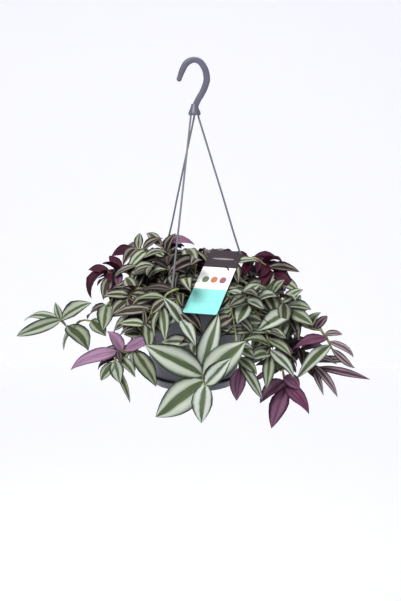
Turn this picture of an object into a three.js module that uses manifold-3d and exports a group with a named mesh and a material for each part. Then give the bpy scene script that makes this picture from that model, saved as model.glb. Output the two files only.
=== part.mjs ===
// A hanging pot of wandering tradescantia, in millimetres, +Z up.
// The origin is the seat inside the hook, where the whole weight hangs. +X is to the right and +Y is
// away, as seen from the front. Heights in the pot are counted from the top of its rim.
import * as THREE from "three";
import { mergeVertices } from "three/addons/utils/BufferGeometryUtils.js";
import Module from "manifold-3d";

const wasm = await Module();
wasm.setup();

// ---------------------------------------------------------------- driving dimensions
const RIM_BELOW_SEAT = 334;
const FIT_GAP = 0.3; // between pieces that touch
const SLIVER = 0.01; // faces thinner than this, left where blades cross, are merged away

const POT = { rim: 90, base: 62, height: 136, wall: 1.6, floor: 2, sides: 28 };
const LIP = { reach: 4, height: 6, edge: 1 }; // the rim's turned edge
const DRAIN = { count: 6, radius: 4, sides: 6, circle: 42 };
const SAUCER = { radius: 67, height: 13, foot: 62, edge: 1.5, floor: 1.8, wall: 1.6, sides: 28 };
const SEAT = { radius: 44, slope: 2, rise: 4.5 }; // the raised middle of the saucer
const SOIL = { below: 16, depth: 112, sides: 20 };

const HOOK = { radius: 5, sides: 8, steps: 13, knob: [10, 6] };
const SKIRT = { top: -60, radius: 9.2, edge: 0.8, edgeTop: -72.5, bottom: -74.5, sides: 12 };
const HOOK_LINE = [
  [-22.3, -22.5],
  [-17.8, -10.3],
  [-11.4, 0.4],
  [-1, 5.1],
  [8.5, 1.6],
  [15.3, -8.7],
  [17.9, -21.5],
  [15.9, -31.5],
  [11.2, -42.5],
  [5.2, -52.5],
  [1.6, -61],
  [-0.2, -71],
];
const STRAND = { radius: 1.4, sides: 6, steps: 9, socket: 5, bore: 1.8, boreSides: 8, neck: 6 };
const STRANDS = [
  { name: "hanger_strand_front", mouth: [-5.6, -2.6], azimuth: -21.5, bow: [0, 1], bent: 0.7 },
  { name: "hanger_strand_back", mouth: [-0.4, 5.4], azimuth: -141.5, bow: [3, -3], bent: 0.7 },
  { name: "hanger_strand_right", mouth: [5.8, -1.2], azimuth: 100, bow: [-5.8, 0], bent: 0.81 },
];
const CLIP = { above: 7, depth: 3, tongue: 2.6, clear: 0.6, width: 8 };

const LABEL = { width: 50, length: 164, thickness: 0.8, corner: 3, holeInset: [3.4, 4.2] };
const HOLE = { radius: 2.2, sides: 8 };

const STEM = { radius: 1.9, sides: 4, steps: 9, depth: 22, hole: 3.2, rise: 14 };
const BLADE = { thickness: 1.3, fold: 0.22, shank: 0.85, large: 68 };
const ROOM = { margin: 0.6, shared: 0.015, foot: 45 }; // kept about a blade, and what its own shoot shares
const ROOT_CIRCLE = 73;
const SHOOTS = 43;
const REDRAWS = 24;
const SEED = 7;

// ---------------------------------------------------------------- the front view
// The shoots that are seen from the front are placed as a maker reads them there: across, up and
// near, in real millimetres at the pot's axis, from a viewer who stands off and looks slightly down.
const VIEW = { distance: 2000, down: THREE.MathUtils.degToRad(11.5) };
const RIM_CENTRE = new THREE.Vector3(0, 0, -RIM_BELOW_SEAT);
const VIEW_UP = new THREE.Vector3(0, Math.sin(VIEW.down), Math.cos(VIEW.down));
const VIEW_NEAR = new THREE.Vector3(0, -Math.cos(VIEW.down), Math.sin(VIEW.down));

function fromFront([across, up, near]) {
  const shrink = (VIEW.distance - near) / VIEW.distance;
  return new THREE.Vector3(across * shrink, 0, 0)
    .addScaledVector(VIEW_UP, up * shrink)
    .addScaledVector(VIEW_NEAR, near)
    .add(RIM_CENTRE);
}

// A point in the pot: an azimuth counted from the front towards +X, a radius, and a height from the rim.
function inPot(azimuth, radius, height) {
  const [x, y] = [radius * Math.sin(azimuth), -radius * Math.cos(azimuth)];
  return new THREE.Vector3(x, y, height).add(RIM_CENTRE);
}

// ---------------------------------------------------------------- solids
function solidOf(geometry) {
  const bare = new THREE.BufferGeometry();
  bare.setAttribute("position", geometry.getAttribute("position"));
  if (geometry.index) bare.setIndex(geometry.index);
  const merged = mergeVertices(bare, 1e-4);
  const mesh = new wasm.Mesh({
    numProp: 3,
    vertProperties: merged.attributes.position.array,
    triVerts: new Uint32Array(merged.index.array),
  });
  return new wasm.Manifold(mesh);
}

function geometryOf(solid) {
  const mesh = solid.getMesh();
  const geometry = new THREE.BufferGeometry();
  geometry.setAttribute("position", new THREE.BufferAttribute(mesh.vertProperties, 3));
  geometry.setIndex(new THREE.BufferAttribute(mesh.triVerts, 1));
  return geometry;
}

function lathe(profile, sides) {
  const points = profile.map(([radius, height]) => new THREE.Vector2(radius, height));
  return solidOf(new THREE.LatheGeometry(points, sides).rotateX(Math.PI / 2));
}

function ring(radius, sides) {
  const corner = (_, i) => {
    const angle = (2 * Math.PI * i) / sides;
    return new THREE.Vector2(radius * Math.cos(angle), radius * Math.sin(angle));
  };
  return new THREE.Shape(Array.from({ length: sides }, corner));
}

function tube(path, radius, sides, steps) {
  const options = { steps, bevelEnabled: false, extrudePath: path };
  return solidOf(new THREE.ExtrudeGeometry(ring(radius, sides), options));
}

function post(x, y, bottom, top, radius, sides) {
  const geometry = new THREE.CylinderGeometry(radius, radius, top - bottom, sides).rotateX(Math.PI / 2);
  return solidOf(geometry.translate(x, y, (bottom + top) / 2));
}

// ---------------------------------------------------------------- pot, saucer and soil
function potWallRadius(height) {
  const share = -height / POT.height;
  const top = POT.rim - LIP.reach + POT.wall;
  return top + (POT.base - top) * share;
}

function makePot() {
  const bottom = -POT.height;
  const profile = [
    [0, bottom],
    [POT.base, bottom],
    [potWallRadius(-LIP.height), -LIP.height],
    [POT.rim, -LIP.height],
    [POT.rim, -LIP.edge],
    [POT.rim - LIP.edge, 0],
    [POT.rim - LIP.reach, 0],
    [potWallRadius(bottom + POT.floor) - POT.wall, bottom + POT.floor],
    [0, bottom + POT.floor],
  ];
  let pot = lathe(profile, POT.sides);
  for (let i = 0; i < DRAIN.count; i++) {
    const turn = (2 * Math.PI * i) / DRAIN.count;
    const [x, y] = [DRAIN.circle * Math.cos(turn), DRAIN.circle * Math.sin(turn)];
    pot = pot.subtract(post(x, y, bottom - 2, bottom + POT.floor + 2, DRAIN.radius, DRAIN.sides));
  }
  return pot.translate(0, 0, -RIM_BELOW_SEAT);
}

function makeSaucer() {
  const seat = -POT.height - FIT_GAP;
  const floor = seat - SEAT.rise;
  const under = floor - SAUCER.floor;
  const top = under + SAUCER.height;
  const profile = [
    [0, under],
    [SAUCER.foot - SAUCER.edge, under],
    [SAUCER.foot, under + SAUCER.edge],
    [SAUCER.radius, top - SAUCER.edge],
    [SAUCER.radius, top],
    [SAUCER.radius - SAUCER.wall, top],
    [SAUCER.foot - SAUCER.wall, floor],
    [SEAT.radius + SEAT.slope, floor],
    [SEAT.radius, seat],
    [0, seat],
  ];
  return lathe(profile, SAUCER.sides).translate(0, 0, -RIM_BELOW_SEAT);
}

function makeSoil(stems) {
  const reach = (height) => (potWallRadius(height) - POT.wall) * Math.cos(Math.PI / POT.sides) - FIT_GAP;
  const top = -SOIL.below;
  const bottom = top - SOIL.depth;
  const profile = [
    [0, bottom],
    [reach(bottom), bottom],
    [reach(top), top - 1],
    [0, top],
  ];
  let soil = lathe(profile, SOIL.sides).translate(0, 0, -RIM_BELOW_SEAT);
  for (const { x, y } of stems) {
    const floor = top - STEM.depth - FIT_GAP - RIM_BELOW_SEAT;
    soil = soil.subtract(post(x, y, floor, top + 4 - RIM_BELOW_SEAT, STEM.hole, STEM.sides));
  }
  return soil;
}

// ---------------------------------------------------------------- hook and strands
function makeHook() {
  const path = new THREE.CatmullRomCurve3(HOOK_LINE.map(([x, z]) => new THREE.Vector3(x, 0, z)));
  const [endX, endZ] = HOOK_LINE[0];
  const knob = new THREE.SphereGeometry(HOOK.radius, ...HOOK.knob).translate(endX, 0, endZ);
  const profile = [
    [0, SKIRT.bottom],
    [SKIRT.radius - SKIRT.edge, SKIRT.bottom],
    [SKIRT.radius, SKIRT.edgeTop],
    [HOOK.radius, SKIRT.top],
    [0, SKIRT.top],
  ];
  const rod = tube(path, HOOK.radius, HOOK.sides, HOOK.steps);
  let hook = rod.add(solidOf(knob)).add(lathe(profile, SKIRT.sides));
  const [bottom, top] = [SKIRT.bottom - 1, SKIRT.bottom + STRAND.socket + FIT_GAP];
  for (const { mouth } of STRANDS) {
    hook = hook.subtract(post(...mouth, bottom, top, STRAND.bore, STRAND.boreSides));
  }
  return hook;
}

// The clip at a strand's lower end stands outside the rim and reaches under its lip with a tongue.
function makeClip(azimuth) {
  const inner = POT.rim + FIT_GAP;
  const outer = inner + CLIP.depth;
  const under = -LIP.height - FIT_GAP;
  const reach = potWallRadius(under) + CLIP.clear;
  const shape = new THREE.Shape()
    .moveTo(inner, CLIP.above)
    .lineTo(outer, CLIP.above)
    .lineTo(outer, under - CLIP.tongue)
    .lineTo(reach, under - CLIP.tongue)
    .lineTo(reach, under)
    .lineTo(inner, under);
  const geometry = new THREE.ExtrudeGeometry(shape, { depth: CLIP.width, bevelEnabled: false, steps: 1 });
  geometry.translate(0, 0, -CLIP.width / 2).rotateX(Math.PI / 2).rotateZ(azimuth - Math.PI / 2);
  return solidOf(geometry.translate(0, 0, -RIM_BELOW_SEAT));
}

// A strand's line runs from its mouth under the hook into the middle of its clip. It is pulled a little
// aside at the share `bent` of its length, where the leaves or the label lean on it.
function strandPath({ mouth, azimuth, bow, bent }) {
  const start = new THREE.Vector3(...mouth, SKIRT.bottom - STRAND.neck / 2);
  const outside = POT.rim + FIT_GAP + CLIP.depth / 2;
  const end = inPot(THREE.MathUtils.degToRad(azimuth), outside, CLIP.above - 2);
  const sag = new THREE.Vector3(...bow, 0);
  const along = (share) => {
    const pull = share < bent ? share / bent : (1 - share) / (1 - bent);
    return start.clone().lerp(end, share).addScaledVector(sag, pull);
  };
  return new THREE.CatmullRomCurve3([start, along(0.14), along(0.45), along(bent), end]);
}

function makeStrand(strand) {
  const [bottom, top] = [SKIRT.bottom - STRAND.neck, SKIRT.bottom + STRAND.socket];
  const pin = post(...strand.mouth, bottom, top, STRAND.radius, STRAND.sides);
  const line = tube(strandPath(strand), STRAND.radius, STRAND.sides, STRAND.steps);
  return line.add(pin).add(makeClip(THREE.MathUtils.degToRad(strand.azimuth)));
}

// ---------------------------------------------------------------- care label
// The card hangs on the right strand by a punched hole at its top right corner, and leans over the rim.
const LABEL_HANG = [68.7, 53.5, -2];
const LABEL_DOWN = [-42, -92, 129];
const LABEL_RIGHT = [47.7, -4.2, 14.4];
const LABEL_CLEAR = 90; // no leaf hangs this near before its face

function labelAxes() {
  const turned = ([across, up, near]) => {
    const way = new THREE.Vector3(across, 0, 0);
    return way.addScaledVector(VIEW_UP, up).addScaledVector(VIEW_NEAR, near).normalize();
  };
  const up = turned(LABEL_DOWN).negate();
  const face = turned(LABEL_RIGHT).cross(up).normalize();
  return { right: up.clone().cross(face), up, face };
}

function labelOutline() {
  const { width, length, corner, holeInset } = LABEL;
  const [right, top] = holeInset;
  const left = right - width;
  const bottom = top - length;
  return new THREE.Shape()
    .moveTo(left + corner, bottom)
    .lineTo(right - corner, bottom)
    .lineTo(right, bottom + corner)
    .lineTo(right, top - corner)
    .lineTo(right - corner, top)
    .lineTo(left + corner, top)
    .lineTo(left, top - corner)
    .lineTo(left, bottom + corner);
}

// The card's outline drawn out between two distances along `way`, its face or the line of sight.
function labelSlab(outline, from, to, way) {
  const { right, up } = labelAxes();
  const placement = new THREE.Matrix4().makeBasis(right, up, way).setPosition(fromFront(LABEL_HANG));
  const options = { depth: to - from, bevelEnabled: false, steps: 1 };
  const geometry = new THREE.ExtrudeGeometry(outline, options);
  return solidOf(geometry.translate(0, 0, from).applyMatrix4(placement));
}

// The front strand stays in sight almost down to the rim: nothing hangs close before that length.
const SIGHT = { from: 0.7, to: 0.95, width: 4.4, depth: 75 };

function strandSlab(strand) {
  const path = strandPath(strand);
  const foot = path.getPointAt(SIGHT.to);
  const along = path.getPointAt(SIGHT.from).sub(foot);
  const side = along.clone().cross(VIEW_NEAR).normalize();
  const middle = foot.addScaledVector(along, 0.5).addScaledVector(VIEW_NEAR, SIGHT.depth / 2);
  const geometry = new THREE.BoxGeometry(SIGHT.width, along.length(), SIGHT.depth);
  const placement = new THREE.Matrix4().makeBasis(side, along.normalize(), VIEW_NEAR);
  return solidOf(geometry.applyMatrix4(placement.setPosition(middle)));
}

function makeLabel() {
  const outline = labelOutline();
  outline.holes.push(ring(HOLE.radius, HOLE.sides));
  return labelSlab(outline, -LABEL.thickness / 2, LABEL.thickness / 2, labelAxes().face);
}

// ---------------------------------------------------------------- stems and blades
// Seeded draws: the same for the same seed and place in the plant.
function draws(seed) {
  let state = seed >>> 0;
  return () => {
    state = (state + 0x6d2b79f5) >>> 0;
    let t = Math.imul(state ^ (state >>> 15), state | 1);
    t = (t + Math.imul(t ^ (t >>> 7), t | 61)) ^ t;
    return ((t ^ (t >>> 14)) >>> 0) / 4294967296;
  };
}

function stemPath(route) {
  return new THREE.CatmullRomCurve3(route, false, "catmullrom", 0.5);
}

// Half width of a blade at a share of its length: ovate, widest before the middle, with a sharp tip.
const ovate = (share) => Math.sin(Math.PI * share ** 0.8) ** 0.9;
const LARGE_STATIONS = [0, 0.17, 0.44, 0.76];
const SMALL_STATIONS = [0, 0.26, 0.62];

// A blade starts at its base along `ahead`, with its upper face towards `face`, and bends down by `bend`.
function bladeGeometry(blade, margin = 0) {
  const { base, ahead, face, length, width, bend } = blade;
  const side = ahead.clone().cross(face);
  const half = BLADE.thickness / 2 + margin;
  const stations = length > BLADE.large ? LARGE_STATIONS : SMALL_STATIONS;
  const vertices = [];
  const at = (share) => {
    const turn = bend * share;
    const radius = length / bend;
    const point = base.clone().addScaledVector(ahead, radius * Math.sin(turn));
    const normal = face.clone().multiplyScalar(Math.cos(turn)).addScaledVector(ahead, Math.sin(turn));
    return { point: point.addScaledVector(face, -radius * (1 - Math.cos(turn))), normal };
  };
  for (const share of stations) {
    const { point, normal } = at(share);
    const reach = Math.max((width / 2) * ovate(share), BLADE.shank) + margin;
    const out = reach * Math.cos(BLADE.fold);
    const up = reach * Math.sin(BLADE.fold);
    vertices.push(point.clone().addScaledVector(side, -out).addScaledVector(normal, up));
    vertices.push(point.clone().addScaledVector(normal, half));
    vertices.push(point.clone().addScaledVector(side, out).addScaledVector(normal, up));
    vertices.push(point.clone().addScaledVector(normal, -half));
  }
  vertices.push(at(1).point);
  const faces = [0, 2, 1, 0, 3, 2];
  const last = stations.length - 1;
  for (let i = 0; i < last; i++) {
    for (let k = 0; k < 4; k++) {
      const a = 4 * i + k;
      const b = 4 * i + ((k + 1) % 4);
      if (k % 2) faces.push(a, b, a + 4, b, b + 4, a + 4);
      else faces.push(a, b + 4, a + 4, a, b, b + 4);
    }
  }
  for (let k = 0; k < 4; k++) faces.push(4 * last + k, 4 * last + ((k + 1) % 4), 4 * last + 4);
  const geometry = new THREE.BufferGeometry().setFromPoints(vertices);
  geometry.setIndex(faces);
  return geometry;
}

// A blade between two points, turned about the line between them from facing the front and the light.
const TO_LIGHT = new THREE.Vector3(0, -0.6, 0.8);

function bladeBetween(base, tip, width, bend, roll) {
  const line = tip.clone().sub(base);
  const chord = line.length();
  line.normalize();
  const out = TO_LIGHT.clone().addScaledVector(line, -TO_LIGHT.dot(line)).normalize();
  out.applyAxisAngle(line, THREE.MathUtils.degToRad(roll));
  const half = bend / 2;
  const ahead = line.clone().multiplyScalar(Math.cos(half)).addScaledVector(out, Math.sin(half));
  const face = out.clone().multiplyScalar(Math.cos(half)).addScaledVector(line, -Math.sin(half));
  return { base, ahead, face, length: (chord * half) / Math.sin(half), width, bend };
}

// ---------------------------------------------------------------- the shoots placed by hand
// Each crosses the rim at the azimuth `crest`, in degrees, follows a route in front-view millimetres,
// and has blades from points of that route: [point of the route, tip across, up and near, width,
// bend, roll]. Bend is in radians, roll in degrees.
const PLACED = [
  {
    name: "front_star",
    crest: -16,
    route: [[-24, -32, 102], [-14, -66, 108], [2, -104, 114], [12, -131, 126], [17, -144, 152]],
    blades: [
      [3, -75, -84, 134, 47, 0.5, -22],
      [3.2, 77, -78, 134, 44, 0.5, 28],
      [2.8, 38, -36, 122, 33, 0.4, 0],
      [3.45, -59, -195, 146, 45, 0.6, -20],
      [3.9, 54, -104, 170, 30, 0.4, 30],
      [3.97, 10, -202, 160, 32, 0.7, 15],
      [1.4, -50, -80, 128, 24, 0.5, -10],
      [0.4, 2, -84, 132, 22, 0.5, 0],
      [0.2, -68, -66, 118, 23, 0.5, 0],
      [1.8, 6, -80, 122, 25, 0.6, 0],
      [0.6, -46, -12, 118, 20, 0.5, 0],
    ],
  },
  {
    name: "left_pale",
    crest: -75,
    route: [[-126, -18, 34], [-148, -46, 40], [-168, -47, 44], [-188, -58, 46], [-202, -45, 50]],
    blades: [
      [3.9, -269, -71, 52, 24, 0.9, -35],
      [3.7, -257, -44, 30, 18, 1.1, 5],
      [4, -209, -20, 54, 13, 0.3, 0],
      [3.9, -155, -20, 68, 29, 0.5, 0],
      [3.2, -158, -92, 66, 37, 0.7, -10],
      [2.4, -200, -90, 52, 16, 0.4, 40],
      [1.3, -133, -70, 62, 24, 0.5, 0],
      [0.6, -97, -36, 52, 22, 0.6, 20],
      [0.2, -138, -60, 62, 27, 0.5, 0],
    ],
  },
  {
    name: "left_dark",
    crest: -98,
    route: [[-106, 28, -8], [-119, 18, 0], [-130, 26, 6]],
    blades: [
      [2, -155, -14, 14, 31, 1.6, 45],
      [1.7, -160, 30, -6, 18, 0.9, 0],
      [1.4, -137, -16, 18, 20, 0.6, 10],
      [0.6, -115, 0, 20, 18, 0.6, 0],
      [0.3, -128, 50, -24, 18, 0.7, 0],
      [1.1, -122, -32, 26, 21, 0.6, 0],
    ],
  },
  {
    name: "mauve_left",
    crest: -50,
    route: [[-88, -48, 88], [-98, -92, 98], [-114, -94, 104], [-121, -112, 108]],
    blades: [
      [2, -190, -117, 108, 24, 0.6, -10],
      [1.7, -130, -62, 102, 24, 0.4, 0],
      [1.4, -52, -73, 118, 22, 0.4, 40],
      [2.7, -112, -142, 112, 22, 0.5, 10],
      [2.4, -88, -131, 120, 19, 0.4, -15],
      [3, -91, -172, 118, 13, 0.3, 20],
      [2.9, -142, -138, 104, 18, 0.5, 0],
      [0.8, -112, -112, 92, 18, 0.5, 0],
    ],
  },
  {
    name: "front_left",
    crest: -34,
    route: [[-60, -22, 98], [-66, -40, 106], [-74, -54, 116]],
    blades: [
      [2, -113, -52, 110, 17, 0.6, 0],
      [1.7, -112, -70, 116, 16, 0.5, 20],
      [0.6, -122, -38, 96, 20, 0.7, 0],
      [1.4, -68, -92, 122, 20, 0.6, 0],
      [0.8, -40, -14, 112, 18, 0.5, 0],
      [2, -76, -28, 124, 10, 0.3, 0],
    ],
  },
  {
    name: "low_left",
    crest: -42,
    route: [[-78, -60, 98], [-90, -92, 108]],
    blades: [
      [1, -56, -146, 122, 27, 0.6, 10],
      [0.7, -98, -128, 120, 20, 0.5, -20],
      [0.3, -104, -70, 114, 20, 0.6, 0],
      [0, -58, -90, 112, 20, 0.6, 0],
    ],
  },
  {
    name: "right_top",
    crest: 118,
    route: [[84, 46, -6], [104, 38, 0], [122, 16, 8]],
    blades: [
      [1.3, 158, 26, 6, 20, 0.6, 0],
      [1.7, 148, 2, 26, 23, 0.9, 0],
      [0.2, 118, 32, -4, 22, 0.9, 0],
      [2, 157, -4, 32, 22, 0.5, 0],
      [1, 142, 22, -2, 20, 0.7, 0],
      [0.3, 68, 14, 24, 18, 0.6, 0],
      [1.5, 108, -12, 34, 22, 0.6, 10],
    ],
  },
  {
    name: "right_ring",
    crest: 67,
    route: [[112, -2, 36], [130, -16, 44], [144, -36, 50]],
    blades: [
      [1.2, 162, 0, 62, 20, 0.5, 0],
      [1.5, 176, -30, 52, 21, 0.7, 0],
      [1.8, 178, -54, 60, 22, 0.6, 20],
      [2, 94, -62, 84, 32, 0.6, 0],
      [0.6, 90, -18, 74, 24, 0.6, 0],
      [0.3, 134, 14, 50, 18, 0.5, 0],
      [1.9, 122, -96, 78, 18, 0.6, 0],
    ],
  },
  {
    name: "right_mid",
    crest: 50,
    route: [[92, -34, 70], [108, -66, 80], [114, -98, 90]],
    blades: [
      [1, 46, -69, 112, 22, 0.5, 10],
      [1.6, 74, -76, 112, 22, 0.6, 0],
      [2, 82, -104, 110, 20, 0.6, 0],
      [1.8, 152, -132, 100, 22, 0.7, 0],
      [1.3, 146, -100, 98, 22, 0.7, 0],
      [2, 108, -150, 108, 20, 0.5, 0],
      [0.5, 52, -44, 96, 24, 0.6, 0],
      [0.8, 138, -74, 84, 18, 0.6, 0],
    ],
  },
  {
    name: "right_pale",
    crest: 81,
    route: [[132, -30, 18], [164, -56, 26], [192, -64, 30], [206, -90, 34]],
    blades: [
      [2.4, 146, -88, 58, 22, 0.7, 0],
      [2.2, 222, -68, 34, 13, 0.8, 0],
      [2.8, 154, -134, 62, 22, 0.8, 0],
      [3, 240, -121, 38, 12, 0.5, 30],
      [2.6, 242, -102, 40, 12, 1.3, 10],
      [1.3, 188, -34, 40, 20, 0.6, 0],
      [0.9, 138, -76, 56, 20, 0.6, 20],
      [0.3, 160, -8, 20, 20, 0.6, 0],
      [1.6, 200, -40, 20, 15, 0.8, 0],
      [1.9, 152, -62, 44, 18, 0.6, 0],
    ],
  },
  {
    name: "right_far",
    crest: 93,
    route: [[130, -52, 4], [162, -96, 14], [182, -118, 20]],
    blades: [
      [2, 264, -136, 24, 13, 0.7, 20],
      [1.8, 216, -162, 40, 14, 0.8, 0],
      [1.5, 198, -156, 30, 13, 0.7, -20],
      [1.2, 216, -112, 14, 13, 0.9, 0],
      [0.9, 128, -124, 24, 20, 0.6, 0],
      [1.6, 234, -110, -6, 14, 0.7, 0],
      [0.3, 168, -40, 2, 20, 0.7, 0],
      [0.7, 150, -102, 12, 16, 0.6, 0],
      [0.9, 192, -82, 2, 15, 0.8, 0],
    ],
  },
  {
    name: "right_hang",
    crest: 59,
    route: [[112, -62, 50], [130, -112, 62], [137, -150, 72]],
    blades: [
      [2, 115, -209, 84, 29, 0.6, 0],
      [1.85, 174, -186, 84, 25, 0.6, 0],
      [1.7, 97, -170, 88, 29, 0.6, 0],
      [1.2, 84, -140, 98, 14, 0.4, 0],
      [1.5, 158, -150, 76, 24, 0.6, 0],
      [1.1, 92, -112, 92, 20, 0.6, 0],
      [0.6, 148, -96, 66, 22, 0.7, 0],
      [0.9, 122, -122, 78, 16, 0.6, 0],
      [1.6, 128, -190, 60, 20, 0.6, 0],
    ],
  },
  {
    name: "low_right",
    crest: 33,
    route: [[60, -58, 102], [68, -118, 112]],
    blades: [
      [0.9, 102, -166, 114, 20, 0.5, 0],
      [1, 62, -168, 118, 24, 0.5, 0],
      [0.5, 92, -104, 110, 20, 0.6, 0],
      [0.75, 94, -128, 114, 18, 0.6, 0],
      [0.1, 34, -60, 112, 20, 0.6, 0],
      [0.45, 86, -88, 106, 17, 0.5, 0],
      [0.6, 38, -104, 118, 18, 0.5, 0],
    ],
  },
  {
    name: "left_rim",
    crest: -61,
    route: [[-90, -2, 50], [-102, -18, 58]],
    blades: [
      [1, -124, -38, 66, 21, 0.6, 0],
      [0.8, -78, -46, 86, 22, 0.6, 0],
      [0.4, -62, -20, 90, 20, 0.6, 10],
      [0.6, -136, -10, 44, 20, 0.7, 0],
      [0.1, -104, 18, 30, 20, 0.6, 0],
    ],
  },
  {
    name: "right_rim",
    crest: 42,
    route: [[74, -8, 82], [80, -24, 92]],
    blades: [
      [0.2, 42, -1, 98, 19, 0.9, 0],
      [1, 64, -52, 108, 27, 0.5, 0],
      [0.6, 104, -30, 90, 22, 0.6, 0],
      [0.8, 48, -28, 110, 20, 0.6, 0],
      [0, 100, 8, 66, 20, 0.6, 0],
    ],
  },
  {
    name: "front_rim",
    crest: -27,
    route: [[-42, -8, 98], [-48, -26, 108]],
    blades: [
      [1, -66, -70, 138, 24, 0.5, 0],
      [0.7, -24, -36, 130, 20, 0.5, 0],
      [1, -44, -78, 142, 17, 0.4, 0],
      [0.4, -84, -20, 108, 21, 0.6, 0],
    ],
  },
  {
    name: "top_left",
    route: [[-56, 44, -34], [-74, 58, -40], [-92, 60, -42]],
    blades: [
      [2, -124, 50, -44, 20, 0.7, -10],
      [1.6, -82, 84, -50, 16, 0.4, 0],
      [1.2, -48, 78, -34, 18, 0.6, 0],
      [1.8, -108, 38, -12, 20, 0.7, 0],
      [0.6, -42, 46, -8, 20, 0.7, 0],
      [0.9, -100, 30, 0, 20, 0.7, 0],
    ],
  },
  {
    name: "top_arch",
    route: [[-34, 40, -20], [-44, 56, -28], [-52, 66, -34]],
    blades: [
      [2, 2, 70, -20, 18, 1.2, 0],
      [1.3, -77, 30, 24, 22, 0.8, 0],
      [0.5, 5, 36, 6, 20, 0.7, 0],
      [1.6, -74, 86, -60, 16, 0.7, 0],
      [0.9, -30, 84, -10, 18, 0.7, 0],
    ],
  },
];

// ---------------------------------------------------------------- the shoots placed by rule
// Root places spread evenly over the soil, each turned from the last by the golden angle.
const GOLDEN_ANGLE = Math.PI * (3 - Math.sqrt(5));
const ROOTS = Array.from({ length: SHOOTS }, (_, i) => ({
  azimuth: i * GOLDEN_ANGLE,
  radius: ROOT_CIRCLE * Math.sqrt((i + 0.5) / SHOOTS),
  free: true,
}));

// The mound of leaves: its height over the rim falls away from the middle and hangs outside the pot.
const MOUND = { top: 60, reach: 178, drop: 114, lean: 0.1 };
const moundHeight = (radius, azimuth) =>
  MOUND.top - MOUND.drop * (radius / MOUND.reach) ** 2 - MOUND.lean * radius * Math.sin(azimuth);

const CREST = { radius: 85, height: 9, step: 2.5 };

function claimRoot(aim) {
  const away = (root) => inPot(root.azimuth, root.radius, 0).distanceTo(aim);
  const free = ROOTS.filter((root) => root.free);
  const best = free.reduce((nearest, root) => (away(root) < away(nearest) ? root : nearest));
  best.free = false;
  return best;
}

function rootedRoute(root, points) {
  const level = (rise) => inPot(root.azimuth, root.radius, rise - SOIL.below);
  return [level(-STEM.depth), level(0), level(STEM.rise), ...points];
}

function placedRoute(root, shoot, redraw) {
  const points = shoot.route.map(fromFront);
  if (shoot.crest === undefined) return rootedRoute(root, points);
  const azimuth = THREE.MathUtils.degToRad(shoot.crest + (redraw % 2 ? 1 : -1) * (redraw >> 1));
  const crest = inPot(azimuth, CREST.radius, CREST.height + CREST.step * (redraw % 4));
  return rootedRoute(root, [crest, ...points]);
}

const TRAILING = { from: 58, drop: 70 };

function ruledRoute(root, index, redraw) {
  const draw = draws(SEED + 1000 * index + redraw);
  const reach = 30 + 128 * (root.radius / ROOT_CIRCLE) ** 1.4 + 24 * (draw() - 0.5);
  const swing = 0.5 * (draw() - 0.5);
  const behind = 0.5 - 0.5 * Math.cos(root.azimuth);
  const hang = root.radius > TRAILING.from ? TRAILING.drop * behind * draw() : 0;
  const height = moundHeight(reach, root.azimuth) - 14 * draw() - hang;
  const over = Math.max(12 + 14 * draw(), 0.72 * height);
  const between = (share) => root.radius + share * (reach - root.radius);
  const bend = (share, level) => inPot(root.azimuth + share * swing, between(share), level);
  if (reach < POT.rim + 14) {
    return rootedRoute(root, [bend(0.5, over), bend(0.8, 0.5 * (over + height) + 3), bend(1, height)]);
  }
  const crest = inPot(root.azimuth + 0.4 * swing, CREST.radius, CREST.height + 8 * draw());
  const outside = (POT.rim + 8 - root.radius) / (reach - root.radius);
  const middle = bend(0.5 + 0.5 * outside, 0.45 * height + 0.55 * CREST.height + 4);
  return rootedRoute(root, [crest, middle, bend(1, height)]);
}

// Blades stand at the middle of a stem's steps, in turn to its left and right, and the last at its end.
const RULED_BLADES = [
  { at: 4.5, length: 56 },
  { at: 5.5, length: 60 },
  { at: 6.5, length: 60 },
  { at: 7.5, length: 56 },
  { at: 8.5, length: 50 },
  { at: 8.9, length: 42 },
];
const LAST = RULED_BLADES.length - 1;
// The bare length of a placed shoot, where it passes over the rim, has two more of these.
const RIM_BLADES = [
  { at: 4.5, length: 50 },
  { at: 6.5, length: 54 },
];
const RIM_PLACE = 11; // the place of the first of them in a shoot's draws

// The leaves of the mound face up, outwards and a little to the front, where the light comes from.
const SKY = new THREE.Vector3(0, -0.35, 1);
const DROOP = 0.45; // what is left of a leaf's rise once it droops

function alongSpine(spine, step) {
  const before = Math.min(Math.floor(step), spine.length - 2);
  return spine[before].clone().lerp(spine[before + 1], step - before);
}

function ruledBlade(spine, { at, length }, index, place, redraw) {
  const draw = draws(SEED + 1000 * index + 50 * (place + 2) + redraw);
  const base = alongSpine(spine, at);
  const tangent = spine[Math.ceil(at)].clone().sub(spine[Math.floor(at)]).normalize();
  const outward = new THREE.Vector3(base.x, base.y, 0).normalize();
  const sky = outward.multiplyScalar(0.2 + 0.4 * draw()).add(SKY);
  const light = sky.clone().addScaledVector(tangent, -sky.dot(tangent)).normalize();
  const sideways = tangent.clone().cross(light).multiplyScalar(place % 2 ? -1 : 1);
  const spread = place === LAST ? 0.5 * (draw() - 0.5) : 0.7 + 0.7 * draw();
  const lift = 0.55 * draw() - 0.08 + 0.02 * redraw;
  const ahead = tangent
    .clone()
    .multiplyScalar(Math.cos(spread))
    .addScaledVector(sideways, Math.sin(spread))
    .addScaledVector(light, lift);
  ahead.setZ(ahead.z * (ahead.z > 0 ? DROOP : 1)).normalize();
  const face = sky.addScaledVector(ahead, -sky.dot(ahead)).normalize();
  face.applyAxisAngle(ahead, 0.8 * (draw() - 0.5));
  const scale = (0.85 + 0.3 * draw()) * (1 - 0.015 * redraw);
  const width = length * scale * (0.43 + 0.08 * draw());
  return { base, ahead, face, length: length * scale, width, bend: 0.5 + 0.7 * draw() };
}

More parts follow.
